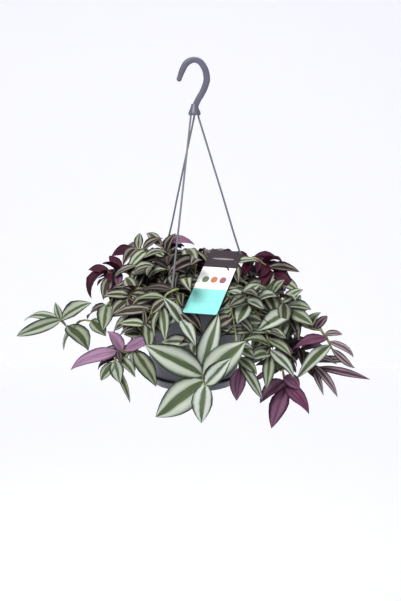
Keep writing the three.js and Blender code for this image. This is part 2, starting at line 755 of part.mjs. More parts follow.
// The point of a stem's spine nearest to a place on its route, which may lie between two of its points.
function onSpine(spine, route, place) {
  const before = Math.min(Math.floor(place), route.length - 2);
  const wanted = route[before].clone().lerp(route[before + 1], place - before);
  let nearest = spine[0];
  for (let i = 1; i < spine.length; i++) {
    const step = new THREE.Line3(spine[i - 1], spine[i]);
    const here = step.closestPointToPoint(wanted, true, new THREE.Vector3());
    if (here.distanceTo(wanted) < nearest.distanceTo(wanted)) nearest = here;
  }
  return nearest;
}

// A placed blade that would cross a neighbour is nudged nearer, further and round by small draws.
function placedBlade(spine, route, spec, index, place, redraw) {
  const [from, across, up, near, width, bend, roll] = spec;
  const draw = draws(SEED + 1000 * index + 50 * (place + 1) + redraw);
  const nudge = redraw ? 3 + redraw : 0;
  const shift = (share) => nudge * (draw() - 0.5) * share;
  const tip = fromFront([across + shift(0.7), up + shift(0.7), near + shift(3)]);
  const base = onSpine(spine, route, from);
  return bladeBetween(base, tip, width * (1 - 0.01 * redraw), bend, roll + shift(4));
}

// ---------------------------------------------------------------- growing the plant
const materials = {
  hanger: new THREE.MeshStandardMaterial({ color: "#54565e", roughness: 0.5, metalness: 0 }),
  pot: new THREE.MeshStandardMaterial({ color: "#40434c", roughness: 0.42, metalness: 0 }),
  soil: new THREE.MeshStandardMaterial({ color: "#33261d", roughness: 0.95, metalness: 0 }),
  label: new THREE.MeshStandardMaterial({ color: "#7fdccf", roughness: 0.4, metalness: 0 }),
  green: new THREE.MeshStandardMaterial({ color: "#8b9d84", roughness: 0.45, metalness: 0 }),
  purple: new THREE.MeshStandardMaterial({ color: "#6d3c62", roughness: 0.5, metalness: 0 }),
};
const PURPLE_SHOOTS = ["left_dark", "mauve_left", "right_hang", "right_top"];

const plant = new THREE.Group();
const grown = [];

function addPiece(name, solid, material) {
  const mesh = new THREE.Mesh(geometryOf(solid), material);
  mesh.name = name;
  plant.add(mesh);
}

function boxOf(solid) {
  const { min, max } = solid.boundingBox();
  return new THREE.Box3(new THREE.Vector3(...min), new THREE.Vector3(...max));
}

// How much of a solid's volume lies in what has grown so far, leaving out one piece.
function sharedVolume(solid, wanted) {
  const box = boxOf(solid);
  let volume = 0;
  for (const other of grown) {
    if (!wanted(other) || !box.intersectsBox(other.box)) continue;
    const shared = solid.intersect(other.solid);
    volume += shared.volume();
    shared.delete();
  }
  return volume;
}

const keep = (solid, owner, kind) => grown.push({ solid, owner, kind, box: boxOf(solid) });

const pot = makePot();
const saucer = makeSaucer();
const hook = makeHook();
const label = makeLabel();
const strands = STRANDS.map(makeStrand);
const labelHole = tube(strandPath(STRANDS[2]), HOLE.radius, HOLE.sides, STRAND.steps);
for (const solid of [pot, saucer, hook, label, ...strands]) keep(solid, "made", "made");
keep(labelSlab(labelOutline(), 0, LABEL_CLEAR, VIEW_NEAR), "made", "sight");
keep(strandSlab(STRANDS[0]), "made", "sight");
keep(makeSoil([]), "soil", "soil");

// A stem is drawn again until it is clear of the rim and of the other stems.
function growStem(name, index, root, placed, routeOf) {
  for (let redraw = 0; redraw < REDRAWS; redraw++) {
    const route = routeOf(redraw);
    const path = stemPath(route);
    const steps = STEM.steps + (placed ? 2 : 0);
    const wide = tube(path, STEM.radius + ROOM.margin, STEM.sides, steps);
    if (sharedVolume(wide, (other) => other.kind !== "soil") > 0) continue;
    const solid = tube(path, STEM.radius, STEM.sides, steps);
    keep(solid, name, "stem");
    return { name, index, root, route, spine: path.getSpacedPoints(steps), solid };
  }
  return null;
}

// A blade is drawn again until it is clear of every other shoot, and crosses its own only at the node.
function growBlade(shoot, bladeOf) {
  for (let redraw = 0; redraw < REDRAWS; redraw++) {
    const blade = bladeOf(redraw);
    const wide = solidOf(bladeGeometry(blade, ROOM.margin));
    const crosses = sharedVolume(wide, (other) => other.owner !== shoot.name) > 0;
    const own = (other) => other.owner === shoot.name && other.kind === "blade";
    const ownStem = (other) => other.owner === shoot.name && other.kind === "stem";
    const clear =
      !crosses &&
      sharedVolume(wide, ownStem) < ROOM.foot &&
      sharedVolume(wide, own) < ROOM.shared * wide.volume();
    wide.delete();
    if (!clear) continue;
    const solid = solidOf(bladeGeometry(blade));
    const joined = shoot.solid.add(solid);
    if (joined.decompose().length > 1) continue; // it would seal in a pocket of air
    keep(solid, shoot.name, "blade");
    shoot.solid = joined;
    return;
  }
}

const placed = PLACED.map((shoot, index) => {
  const overRim = () => inPot(THREE.MathUtils.degToRad(shoot.crest), ROOT_CIRCLE, 0);
  const aim = shoot.crest === undefined ? fromFront(shoot.route[0]) : overRim();
  const root = claimRoot(aim.setZ(RIM_CENTRE.z));
  const routeOf = (redraw) => placedRoute(root, shoot, redraw);
  const stem = growStem(`stem_${shoot.name}`, index, root, true, routeOf);
  return stem && { ...stem, blades: shoot.blades, placed: shoot.route.length };
}).filter(Boolean);
const ruled = ROOTS.filter((root) => root.free).map((root, i) => {
  const index = PLACED.length + i;
  const name = `stem_${String(i + 1).padStart(2, "0")}`;
  return growStem(name, index, root, false, (redraw) => ruledRoute(root, index, redraw));
}).filter(Boolean);

for (const shoot of placed) {
  const route = shoot.route.slice(-shoot.placed);
  shoot.blades.forEach((spec, place) => {
    growBlade(shoot, (redraw) => placedBlade(shoot.spine, route, spec, shoot.index, place, redraw));
  });
}
function growRuled(shoots, blade, place) {
  for (const shoot of shoots) {
    growBlade(shoot, (redraw) => ruledBlade(shoot.spine, blade, shoot.index, place, redraw));
  }
}
RIM_BLADES.forEach((blade, i) => growRuled(placed, blade, RIM_PLACE + i));
for (let place = LAST; place >= 0; place--) growRuled(ruled, RULED_BLADES[place], place);

// ---------------------------------------------------------------- the finished group
addPiece("hanger_hook", hook, materials.hanger);
STRANDS.forEach(({ name }, i) => addPiece(name, strands[i], materials.hanger));
addPiece("pot", pot, materials.pot);
addPiece("drip_saucer", saucer, materials.pot);
addPiece("soil", makeSoil([...placed, ...ruled].map(({ route }) => route[0])), materials.soil);
addPiece("care_label", label.subtract(labelHole), materials.label);
for (const { name, solid } of [...placed, ...ruled]) {
  const purple = PURPLE_SHOOTS.some((word) => name.endsWith(word));
  addPiece(name, solid.asOriginal().simplify(SLIVER), purple ? materials.purple : materials.green);
}

export default plant;
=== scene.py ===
"""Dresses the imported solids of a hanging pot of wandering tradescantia.

Lengths are in millimetres until a piece is finished, and then in metres. The origin is the seat inside
the hook, +Z is up, +X is to the right and +Y is away, as seen from the front.
"""

import bisect
import logging
import math
from dataclasses import dataclass, field, replace
from enum import Enum
from typing import Callable, Optional, Sequence, Union

import bmesh
import bpy
from mathutils import Matrix, Quaternion, Vector, geometry, noise
from mathutils.bvhtree import BVHTree


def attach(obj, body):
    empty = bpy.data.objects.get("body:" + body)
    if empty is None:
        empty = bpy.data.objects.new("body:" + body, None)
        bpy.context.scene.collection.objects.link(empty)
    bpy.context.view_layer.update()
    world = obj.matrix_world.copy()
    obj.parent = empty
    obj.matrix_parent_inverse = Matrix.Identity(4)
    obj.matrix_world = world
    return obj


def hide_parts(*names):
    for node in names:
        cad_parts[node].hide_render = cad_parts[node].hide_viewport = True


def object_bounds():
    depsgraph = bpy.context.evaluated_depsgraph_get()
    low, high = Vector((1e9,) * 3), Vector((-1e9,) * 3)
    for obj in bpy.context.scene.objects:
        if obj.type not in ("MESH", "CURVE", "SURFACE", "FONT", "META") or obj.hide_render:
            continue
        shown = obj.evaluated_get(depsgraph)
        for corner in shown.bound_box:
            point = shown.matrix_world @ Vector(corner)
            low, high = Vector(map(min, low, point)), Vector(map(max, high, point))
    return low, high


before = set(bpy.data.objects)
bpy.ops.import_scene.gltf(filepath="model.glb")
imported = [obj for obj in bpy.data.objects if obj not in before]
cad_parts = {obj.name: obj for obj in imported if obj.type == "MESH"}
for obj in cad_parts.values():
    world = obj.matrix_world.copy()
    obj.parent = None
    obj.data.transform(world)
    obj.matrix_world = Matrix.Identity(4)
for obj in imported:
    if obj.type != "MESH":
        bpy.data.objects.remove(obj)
CAD_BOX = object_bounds()

MM = 0.001
UP = Vector((0, 0, 1))
LOG = logging.getLogger("tradescantia")

Socket = bpy.types.NodeSocket
Value = Union[float, Sequence[float], Socket]
Colour = tuple[float, float, float, float]


def screen(red: float, green: float, blue: float) -> Colour:
    """Turns a colour as a screen shows it into a linear one.

    Args:
        red: its red, from 0 to 255.
        green: its green.
        blue: its blue.

    Returns:
        The colour, opaque.
    """

    def channel(value: float) -> float:
        """Turns one channel."""
        share = value / 255
        return share / 12.92 if share <= 0.04045 else ((share + 0.055) / 1.055) ** 2.4

    return channel(red), channel(green), channel(blue), 1.0


# ---------------------------------------------------------------- the nodes of a finish
class Graph:
    """The nodes of one material, added by short calls."""

    def __init__(self, name: str, **sockets: Value) -> None:
        """Starts a material from a principled shader.

        Args:
            name: the material's name.
            sockets: values of the shader's sockets, with _ for a space.
        """
        self.material = bpy.data.materials.new(name)
        self.material.use_nodes = True
        self.tree = self.material.node_tree
        self.shader = self.tree.nodes["Principled BSDF"]
        self.set(**sockets)

    def set(self, **sockets: Value) -> None:
        """Sets or links sockets of the shader, with _ for a space in their names."""
        for socket, value in sockets.items():
            self.put(self.shader.inputs[socket.replace("_", " ")], value)

    def put(self, socket: Socket, value: Value) -> None:
        """Links a socket to another, or sets its value.

        Args:
            socket: what takes the value.
            value: the value, or the socket to link.
        """
        if isinstance(value, Socket):
            self.tree.links.new(value, socket)
        else:
            socket.default_value = value

    def add(self, kind: str, values: Optional[dict] = None, **settings: object) -> bpy.types.Node:
        """Adds a node.

        Args:
            kind: the node's type, without its ShaderNode prefix.
            values: what goes into its inputs, by name or place.
            settings: the node's own properties.

        Returns:
            The node.
        """
        node = self.tree.nodes.new("ShaderNode" + kind)
        for name, setting in settings.items():
            setattr(node, name, setting)
        for socket, value in (values or {}).items():
            self.put(node.inputs[socket], value)
        return node

    def math(self, operation: str, *values: Value) -> Socket:
        """Returns the result of a sum on one, two or three values."""
        return self.add("Math", dict(enumerate(values)), operation=operation).outputs[0]

    def object_place(self) -> Socket:
        """Returns the place on the piece, in metres."""
        return self.add("TexCoord").outputs["Object"]

    def attribute(self, name: str) -> Socket:
        """Returns a number that the mesh holds."""
        return self.add("Attribute", attribute_name=name).outputs["Fac"]

    def flat_place(self, layer: str) -> tuple[Socket, Socket]:
        """Returns the two numbers of a UV map."""
        parts = self.add("SeparateXYZ", {0: self.add("UVMap", uv_map=layer).outputs[0]})
        return parts.outputs[0], parts.outputs[1]

    def noise(self, place: Socket, scale: float, detail: float = 2.0) -> Socket:
        """Returns soft noise between 0 and 1."""
        return self.add("TexNoise", {"Vector": place, "Scale": scale, "Detail": detail}).outputs["Fac"]

    def streaks(self, values: Sequence[Value], scales: Sequence[float], detail: float = 3.0) -> Socket:
        """Returns soft noise over three values, each at a scale of its own."""
        scaled = [self.math("MULTIPLY", value, scale) for value, scale in zip(values, scales)]
        return self.noise(self.add("CombineXYZ", dict(enumerate(scaled))).outputs[0], 1.0, detail)

    def ramp(self, factor: Value, stops: Sequence[tuple[float, Colour]], steps: bool = False) -> Socket:
        """Returns a colour from a ramp.

        Args:
            factor: the place on the ramp.
            stops: each place on it and its colour, in order.
            steps: true where each colour runs flat up to the next.

        Returns:
            The colour.
        """
        node = self.add("ValToRGB", {"Fac": factor})
        ramp = node.color_ramp
        ramp.interpolation = "CONSTANT" if steps else "LINEAR"
        while len(ramp.elements) < len(stops):
            ramp.elements.new(1.0)
        for element, (place, colour) in zip(ramp.elements, stops):
            element.position = place
            element.color = colour
        return node.outputs["Color"]

    def mix(self, factor: Value, first: Value, second: Value, blend: str = "MIX") -> Socket:
        """Returns a mix of two colours."""
        node = self.add("Mix", {0: factor, 6: first, 7: second}, data_type="RGBA", blend_type=blend)
        return node.outputs[2]

    def spread(self, value: Value, low: float, high: float, to_low: float, to_high: float) -> Socket:
        """Returns a value moved from one range to another and held inside it."""
        return self.add("MapRange", {0: value, 1: low, 2: high, 3: to_low, 4: to_high}).outputs[0]

    def bump(self, height: Value, distance: float, strength: float = 1.0) -> None:
        """Raises the surface by a height, with distance in metres."""
        node = self.add("Bump", {"Height": height, "Distance": distance, "Strength": strength})
        self.put(self.shader.inputs["Normal"], node.outputs[0])


# ---------------------------------------------------------------- finishes
# the numbers that the mesh of each leaf holds
TINTS = ("shade", "fresh", "violet", "wine", "mauve", "painted_shade", "kind")


@dataclass(frozen=True)
class MouldedPlastic:
    """Satin moulded plastic with a fine skin, flow marks painted as faint vertical highlights, and a little
    dust.
    """

    name: str
    colour: Colour
    flow_mark_highlight: Colour
    roughness: float = 0.38
    dust: Colour = screen(136, 132, 128)

    def material(self) -> bpy.types.Material:
        """Mixes the finish from its flow marks, painted lighter as highlight streaks, its dust and its grain.

        Returns:
            The material.
        """
        graph = Graph(self.name, IOR=1.5)
        place = graph.object_place()
        stretched = graph.add("Mapping", {"Vector": place, "Scale": (26, 26, 5)}).outputs[0]
        flow = graph.noise(stretched, 1.0, 3.0)
        cloud = graph.noise(place, 38.0, 4.0)
        grain = graph.noise(place, 1900.0)
        # painted highlight: the stretched flow noise lightens the colour in faint vertical streaks, as
        # highlights down the wall; the same noise also raises the flow marks in the bump
        shade = graph.mix(graph.spread(flow, 0.35, 0.75, 0.0, 0.5), self.colour, self.flow_mark_highlight)
        graph.set(
            Base_Color=graph.mix(graph.spread(cloud, 0.52, 0.74, 0.0, 0.22), shade, self.dust),
            Roughness=graph.spread(cloud, 0.3, 0.8, self.roughness - 0.06, self.roughness + 0.16),
        )
        graph.bump(graph.math("MULTIPLY_ADD", flow, 2.0, grain), 0.00006, 0.7)
        return graph.material


@dataclass(frozen=True)
class LeafColours:
    """The colours across half a leaf, from its midrib out to its margin."""

    midrib: Colour
    middle: Colour
    band: Colour
    bright: Colour
    side: Colour
    margin: Colour
    heart: float = 0.17
    edge: float = 0.78

    @classmethod
    def shown(cls, *channels: Sequence[float], **places: float) -> "LeafColours":
        """Returns the colours from their channels as a screen shows them, in the order of the fields."""
        return cls(*(screen(*colour) for colour in channels), **places)

    def stops(self) -> list[tuple[float, Colour]]:
        """Spreads the colours over half a leaf.

        Returns:
            The stops of a ramp, with 0 at the midrib and 1 at the margin.
        """
        return [
            (0.0, self.midrib),
            (0.03, self.middle),
            (self.heart, self.middle),
            (self.heart + 0.05, self.band),
            (self.heart + 0.17, self.bright),
            (self.edge - 0.16, self.bright),
            (self.edge - 0.04, self.band),
            (self.edge, self.side),
            (self.edge + 0.12, self.margin),
        ]


SILVER = LeafColours.shown(
    (64, 74, 54), (90, 104, 78), (152, 162, 148), (195, 202, 193), (92, 108, 84), (42, 40, 31),
    heart=0.24, edge=0.88,
)
SHADED = LeafColours.shown(
    (64, 40, 42), (34, 14, 22), (136, 134, 112), (176, 175, 152), (28, 30, 20), (26, 10, 20),
    heart=0.24, edge=0.7,
)
FRESH = LeafColours.shown(
    (150, 176, 92), (96, 132, 48), (124, 158, 72), (146, 176, 98), (80, 116, 38), (62, 86, 34)
)
VIOLET = LeafColours.shown(
    (132, 84, 112), (94, 50, 76), (108, 62, 90), (120, 74, 102), (92, 46, 74), (58, 24, 46)
)
WINE = LeafColours.shown((84, 28, 48), (50, 10, 26), (60, 14, 34), (66, 18, 38), (46, 9, 24), (28, 5, 16))
MAUVE = LeafColours.shown(
    (168, 136, 162), (138, 102, 130), (148, 113, 141), (160, 126, 154), (130, 95, 124), (92, 58, 84)
)


@dataclass(frozen=True)
class LeafUpper:
    """The upper side of a leaf: a green middle, silver bands, green sides and a dark margin."""

    name: str

    def material(self) -> bpy.types.Material:
        """Mixes the finish from the leaf's UV map, along and across, and its own numbers.

        Returns:
            The material.
        """
        graph = Graph(self.name, IOR=1.4, Specular_IOR_Level=0.18)
        along, across = graph.flat_place("leaf")
        shade, fresh, violet, wine, mauve, painted_shade, kind = (graph.attribute(name) for name in TINTS)
        out = graph.math("ABSOLUTE", graph.math("MULTIPLY_ADD", across, 2.0, -1.0))
        streak = graph.streaks((along, across, kind), (2.2, 34.0, 57.0))
        wave = graph.streaks((along, across, kind), (3.4, 2.6, 91.0), 1.0)
        place = graph.math("MULTIPLY_ADD", streak, 0.16, graph.math("ADD", out, -0.08))
        place = graph.math("MULTIPLY_ADD", wave, 0.3, graph.math("ADD", place, -0.15))
        # the bands of one leaf stand nearer its midrib or its margin than those of another
        sway = graph.math("SINE", graph.math("MULTIPLY", kind, 44.0))
        place = graph.math("MULTIPLY_ADD", sway, 0.09, place)
        colour = graph.mix(shade, graph.ramp(place, SILVER.stops()), graph.ramp(place, SHADED.stops()))
        for share, colours in ((fresh, FRESH), (violet, VIOLET), (wine, WINE), (mauve, MAUVE)):
            colour = graph.mix(share, colour, graph.ramp(place, colours.stops()))
        ribs = graph.spread(streak, 0.3, 0.7, 0.76, 1.12)
        # painted shade: by the leaf's own share of painted shade, its colour is pulled towards near black, as
        # if the leaf stood in shade inside the mound, and its paler base fades with it
        colour = graph.mix(painted_shade, graph.mix(0.7, colour, ribs, "MULTIPLY"), screen(32, 26, 27))
        lit = graph.math("SUBTRACT", 1.0, painted_shade)
        root = graph.math("MULTIPLY", graph.spread(along, 0.0, 0.12, 0.5, 0.0), lit)
        graph.set(
            Base_Color=graph.mix(root, colour, screen(104, 120, 70)),
            Roughness=graph.spread(out, 0.15, 0.75, 0.42, 0.58),
        )
        cells = graph.noise(graph.object_place(), 2600.0, 1.0)
        graph.bump(graph.math("MULTIPLY_ADD", streak, 1.6, cells), 0.00022, 0.8)
        return graph.material


@dataclass(frozen=True)
class LeafUnder:
    """The purple underside of a leaf, with fine veins along it."""

    name: str

    def material(self) -> bpy.types.Material:
        """Mixes the finish from the leaf's UV map and its own numbers.

        Returns:
            The material.
        """
        graph = Graph(self.name, Roughness=0.58, IOR=1.4, Specular_IOR_Level=0.18)
        along, across = graph.flat_place("leaf")
        kind, mauve, wine, painted_shade = (graph.attribute(name) for name in ("kind", "mauve", "wine", "painted_shade"))
        streak = graph.streaks((along, across, kind), (2.0, 30.0, 41.0))
        out = graph.math("ABSOLUTE", graph.math("MULTIPLY_ADD", across, 2.0, -1.0))
        colour = graph.ramp(
            graph.math("MULTIPLY_ADD", streak, 0.5, graph.math("MULTIPLY", out, 0.6)),
            [(0.12, screen(120, 66, 98)), (0.35, screen(84, 34, 64)), (0.9, screen(58, 20, 44))],
        )
        # the last mix is painted shade, darkening the underside of a leaf as if it stood in shade inside the
        # mound
        mixes = ((wine, screen(62, 20, 38)), (mauve, MAUVE.band), (painted_shade, screen(30, 18, 26)))
        for share, tone in mixes:
            colour = graph.mix(share, colour, tone)
        graph.set(Base_Color=colour)
        graph.bump(streak, 0.0003, 0.8)
        return graph.material


@dataclass(frozen=True)
class StemSkin:
    """A fleshy stem, yellow green while young and darker and redder with age, with pink nodes."""

    name: str

    def material(self) -> bpy.types.Material:
        """Mixes the finish from the age and the blush that the mesh holds.

        Returns:
            The material.
        """
        graph = Graph(self.name, Roughness=0.4, IOR=1.42)
        fleck = graph.noise(graph.object_place(), 420.0)
        young = graph.mix(fleck, screen(146, 160, 88), screen(170, 174, 110))
        old = graph.mix(fleck, screen(66, 62, 38), screen(62, 36, 38))
        body = graph.mix(graph.attribute("age"), young, old)
        node = graph.mix(graph.spread(fleck, 0.35, 0.65, 0.0, 1.0), screen(92, 54, 62), screen(126, 130, 78))
        graph.set(Base_Color=graph.mix(graph.attribute("blush"), body, node))
        graph.bump(fleck, 0.0002, 0.6)
        return graph.material


@dataclass(frozen=True)
class PottingSoil:
    """Dark, crumbly potting soil."""

    name: str

    def material(self) -> bpy.types.Material:
        """Mixes the finish from coarse crumbs and fine fibres.

        Returns:
            The material.
        """
        graph = Graph(self.name, Roughness=0.95)
        place = graph.object_place()
        crumb = graph.noise(place, 260.0, 5.0)
        fibre = graph.noise(place, 900.0, 3.0)
        stops = [(0.3, screen(22, 15, 11)), (0.52, screen(48, 34, 24)), (0.72, screen(84, 62, 44))]
        graph.set(Base_Color=graph.ramp(crumb, stops))
        graph.bump(graph.math("MULTIPLY_ADD", fibre, 0.4, crumb), 0.0016)
        return graph.material


@dataclass(frozen=True)
class PrintedCard:
    """A coated card printed in three flat bands, with plain ovals and thin lines on them.

    Each band has the place along the card where it starts, and each mark its middle along and across and
    its half sizes.
    """

    name: str
    bands: tuple[tuple[float, Colour], ...] = (
        (0.0, screen(142, 222, 214)),
        (0.37, screen(250, 250, 248)),
        (0.715, screen(56, 47, 52)),
    )
    marks: tuple[tuple[tuple[float, ...], Colour], ...] = (
        ((0.52, 0.24, 0.05, 0.1), screen(112, 128, 92)),
        ((0.52, 0.5, 0.05, 0.1), screen(196, 120, 92)),
        ((0.52, 0.76, 0.05, 0.1), screen(150, 92, 104)),
        ((0.86, 0.5, 0.012, 0.34), screen(150, 140, 146)),
        ((0.18, 0.5, 0.008, 0.4), screen(130, 214, 206)),
    )

    def material(self) -> bpy.types.Material:
        """Prints the bands and then the marks, by the card's UV map.

        Returns:
            The material.
        """
        graph = Graph(self.name, Roughness=0.5, IOR=1.4, Specular_IOR_Level=0.2)
        across, along = graph.flat_place("card")
        colour = graph.ramp(along, self.bands, steps=True)
        for at, ink in self.marks:
            offsets = [graph.math("SUBTRACT", place, middle) for place, middle in zip((along, across), at)]
            up, right = (graph.math("DIVIDE", offset, half) for offset, half in zip(offsets, at[2:]))
            reach = graph.math("MULTIPLY_ADD", up, up, graph.math("MULTIPLY", right, right))
            colour = graph.mix(graph.math("LESS_THAN", reach, 1.0), colour, ink)
        graph.set(Base_Color=colour)
        graph.bump(graph.noise(graph.object_place(), 1400.0, 1.0), 0.00002, 0.4)
        return graph.material


@dataclass(frozen=True)
class StudioPaper:
    """Plain pale paper for the floor and the backdrop."""

    name: str
    glow: float

    def material(self) -> bpy.types.Material:
        """Mixes the finish, with a glow that lifts its shadows.

        Returns:
            The material.
        """
        graph = Graph(self.name, Roughness=0.9, Emission_Strength=self.glow)
        soft = graph.noise(graph.object_place(), 0.6, 1.0)
        graph.set(
            Base_Color=graph.mix(soft, screen(250, 250, 254), screen(248, 248, 253)),
            Emission_Color=screen(250, 250, 255),
        )
        return graph.material


# ---------------------------------------------------------------- shaping
def mesh_of(name: str, bm: bmesh.types.BMesh) -> bpy.types.Mesh:
    """Turns a drawing into a mesh, and frees it.

    Args:
        name: the mesh's name.
        bm: the drawing.

    Returns:
        The mesh.
    """
    mesh = bpy.data.meshes.new(name)
    bm.to_mesh(mesh)
    bm.free()
    return mesh


def add_object(name: str, data: bpy.types.ID) -> bpy.types.Object:
    """Adds an object to the scene.

    Args:
        name: the object's name.
        data: its mesh, lamp or camera.

    Returns:
        The object.
    """
    added = bpy.data.objects.new(name, data)
    bpy.context.scene.collection.objects.link(added)
    return added


def verts_of(parts: Sequence[object]) -> list[bmesh.types.BMVert]:
    """Returns the vertices among what an operator made."""
    return [part for part in parts if isinstance(part, bmesh.types.BMVert)]


def edges_of(verts: Sequence[bmesh.types.BMVert]) -> list[bmesh.types.BMEdge]:
    """Returns the edges at some vertices, each one once."""
    return list(dict.fromkeys(edge for vert in verts for edge in vert.link_edges))


def extrude(bm: bmesh.types.BMesh, faces: Sequence[bmesh.types.BMFace], way: Vector) -> None:
    """Extrudes faces and moves the new ones by a vector."""
    grown = bmesh.ops.extrude_face_region(bm, geom=faces)["geom"]
    bmesh.ops.translate(bm, vec=way, verts=verts_of(grown))


def frames_along(points: Sequence[Vector]) -> list[Matrix]:
    """Places a frame at each point of a line, with Z along it and no twist.

    Args:
        points: the points of the line.

    Returns:
        The placements.
    """
    last = len(points) - 1
    ways = [(points[min(i + 1, last)] - points[max(i - 1, 0)]).normalized() for i in range(last + 1)]
    turn = UP.rotation_difference(ways[0])
    frames = []
    for i, way in enumerate(ways):
        if i:
            turn = ways[i - 1].rotation_difference(way) @ turn
        frames.append(Matrix.Translation(points[i]) @ turn.to_matrix().to_4x4())
    return frames


def sweep(
    bm: bmesh.types.BMesh, points: Sequence[Vector], radii: Sequence[float], sides: int, ribs: float = 0.0
) -> list[list[bmesh.types.BMVert]]:
    """Draws a closed rod along a line, by extruding a circle from each point to the next.

    Args:
        bm: the mesh to draw in.
        points: the points of the line.
        radii: the rod's radius at each.
        sides: the number of sides.
        ribs: how deep two shallow channels run along its flanks, as a share of the radius.

    Returns:
        The vertices of each ring.
    """
    placements = [
        turn @ Matrix.Diagonal((radius, radius, 1, 1)) for turn, radius in zip(frames_along(points), radii)
    ]
    verts = bmesh.ops.create_circle(bm, cap_ends=True, segments=sides, radius=1.0)["verts"]
    for vert in verts:
        angle = math.atan2(vert.co.y, vert.co.x)
        vert.co *= 1 - ribs * math.cos(2 * angle) ** 6
    bmesh.ops.transform(bm, matrix=placements[0], verts=verts)
    edges = edges_of(verts)
    rings = [verts]
    for before, after in zip(placements, placements[1:]):
        grown = bmesh.ops.extrude_edge_only(bm, edges=edges)["geom"]
        verts = verts_of(grown)
        new = set(verts)
        edges = [part for part in grown if isinstance(part, bmesh.types.BMEdge) and set(part.verts) <= new]
        bmesh.ops.transform(bm, matrix=after @ before.inverted(), verts=verts)
        rings.append(verts)
    bmesh.ops.contextual_create(bm, geom=edges)
    return rings


def turned(bm: bmesh.types.BMesh, profile: Sequence[tuple[float, float]], steps: int = 96) -> None:
    """Turns a profile about the Z axis.

    Args:
        bm: the mesh to draw in.
        profile: the radius and the height of each of its points.
        steps: the number of steps round the axis.
    """
    verts = [bm.verts.new((radius, 0, height)) for radius, height in profile]
    edges = [bm.edges.new(pair) for pair in zip(verts, verts[1:])]
    geom = verts + edges
    bmesh.ops.spin(bm, geom=geom, cent=(0, 0, 0), axis=UP, angle=math.tau, steps=steps, use_merge=True)
    bmesh.ops.remove_doubles(bm, verts=bm.verts[:], dist=1e-4)


def soften(bm: bmesh.types.BMesh, offset: float, sharp: float = 35.0) -> None:
    """Rounds the sharp edges of a mesh.

    Args:
        bm: the mesh.
        offset: how far the rounding reaches.
        sharp: the turn, in degrees, past which an edge is sharp.
    """
    edges = [edge for edge in bm.edges if edge.is_manifold and edge.calc_face_angle(0) > math.radians(sharp)]
    rounding = {"offset": offset, "segments": 2, "profile": 0.5, "affect": "EDGES", "clamp_overlap": True}
    bmesh.ops.bevel(bm, geom=edges, material=-1, **rounding)


def finish_piece(
    name: str,
    bm: bmesh.types.BMesh,
    materials: Sequence[bpy.types.Material],
    nodes: Sequence[str] = (),
    crease: float = 40.0,
) -> None:
    """Makes an object of a mesh in millimetres, and fastens it to the model.

    Args:
        name: the piece's name.
        bm: its mesh, which is used up.
        materials: its finishes, in the order of the faces' numbers.
        nodes: the solids that it stands for.
        crease: the angle, in degrees, past which an edge stays sharp.
    """
    bmesh.ops.recalc_face_normals(bm, faces=bm.faces[:])
    bmesh.ops.scale(bm, vec=(MM, MM, MM), verts=bm.verts[:])
    mesh = mesh_of(name, bm)
    mesh.shade_smooth()
    mesh.set_sharp_from_angle(angle=math.radians(crease))
    for material in materials:
        mesh.materials.append(material)
    piece = add_object(name, mesh)
    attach(piece, "root")
    if nodes:
        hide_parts(*nodes)
    LOG.info("%s: %d faces", name, len(mesh.polygons))


@dataclass(frozen=True)
class Line:
    """A smooth line through points, drawn as the solids' lines are."""

    points: tuple[Vector, ...]
    samples: int = 200

    def at(self, share: float) -> Vector:
        """Finds a point of the line.

        Args:
            share: its share of the spans, from 0 at the start to 1 at the end.

        Returns:
            The point.
        """
        spans = len(self.points) - 1
        i = min(int(spans * share), spans - 1)
        weight = spans * share - i
        start, end = self.points[i], self.points[i + 1]
        before = self.points[i - 1] if i else 2 * start - end
        after = self.points[i + 2] if i + 2 <= spans else 2 * end - start
        leave, arrive = (end - before) / 2, (after - start) / 2
        square = 3 * (end - start) - 2 * leave - arrive
        cube = 2 * (start - end) + leave + arrive
        return start + leave * weight + square * weight**2 + cube * weight**3

    def spaced(self, steps: int) -> list[Vector]:
        """Divides the line into even steps.

        Args:
            steps: the number of steps.

        Returns:
            The points between them, with both ends.
        """
        marks = [self.at(i / self.samples) for i in range(self.samples + 1)]
        lengths = [0.0]
        for before, after in zip(marks, marks[1:]):
            lengths.append(lengths[-1] + (after - before).length)
        spaced = []
        for step in range(steps + 1):
            target = lengths[-1] * step / steps
            i = min(max(bisect.bisect_right(lengths, target) - 1, 0), self.samples - 1)
            span = lengths[i + 1] - lengths[i]
            spaced.append(self.at((i + (target - lengths[i]) / span) / self.samples))
        return spaced


# ---------------------------------------------------------------- places
@dataclass(frozen=True)
class Rim:
    """The pot's place, and the front view that the placed shoots are read in."""

    below_seat: float = 334.0
    distance: float = 2000.0
    down: float = math.radians(11.5)

    @property
    def centre(self) -> Vector:
        """Returns the middle of the rim's top."""
        return Vector((0, 0, -self.below_seat))

    @property
    def sight_up(self) -> Vector:
        """Returns what is up to a viewer at the front."""
        return Vector((0, math.sin(self.down), math.cos(self.down)))

    @property
    def sight_near(self) -> Vector:
        """Returns the way towards that viewer."""
        return Vector((0, -math.cos(self.down), math.sin(self.down)))

    def from_front(self, across: float, up: float, near: float) -> Vector:
        """Finds the point that a viewer at the front sees at a place.

        Args:
            across: how far right of the rim's middle it is seen.
            up: how far over it.
            near: how far it stands before the rim's middle.

        Returns:
            The point.
        """
        shrink = (self.distance - near) / self.distance
        flat = Vector((across * shrink, 0, 0)) + self.sight_up * (up * shrink)
        return flat + self.sight_near * near + self.centre

    def in_pot(self, azimuth: float, radius: float, height: float) -> Vector:
        """Returns a point by its azimuth from the front towards +X, its radius and its height."""
        return Vector((radius * math.sin(azimuth), -radius * math.cos(azimuth), height)) + self.centre


RIM = Rim()


# ---------------------------------------------------------------- hanger
@dataclass(frozen=True)
class StrandPlace:
    """Where a strand starts under the hook, where it ends on the rim, and how it bows between."""

    name: str
    mouth: tuple[float, float]
    azimuth: float
    bow: tuple[float, float]
    bent: float = 0.7


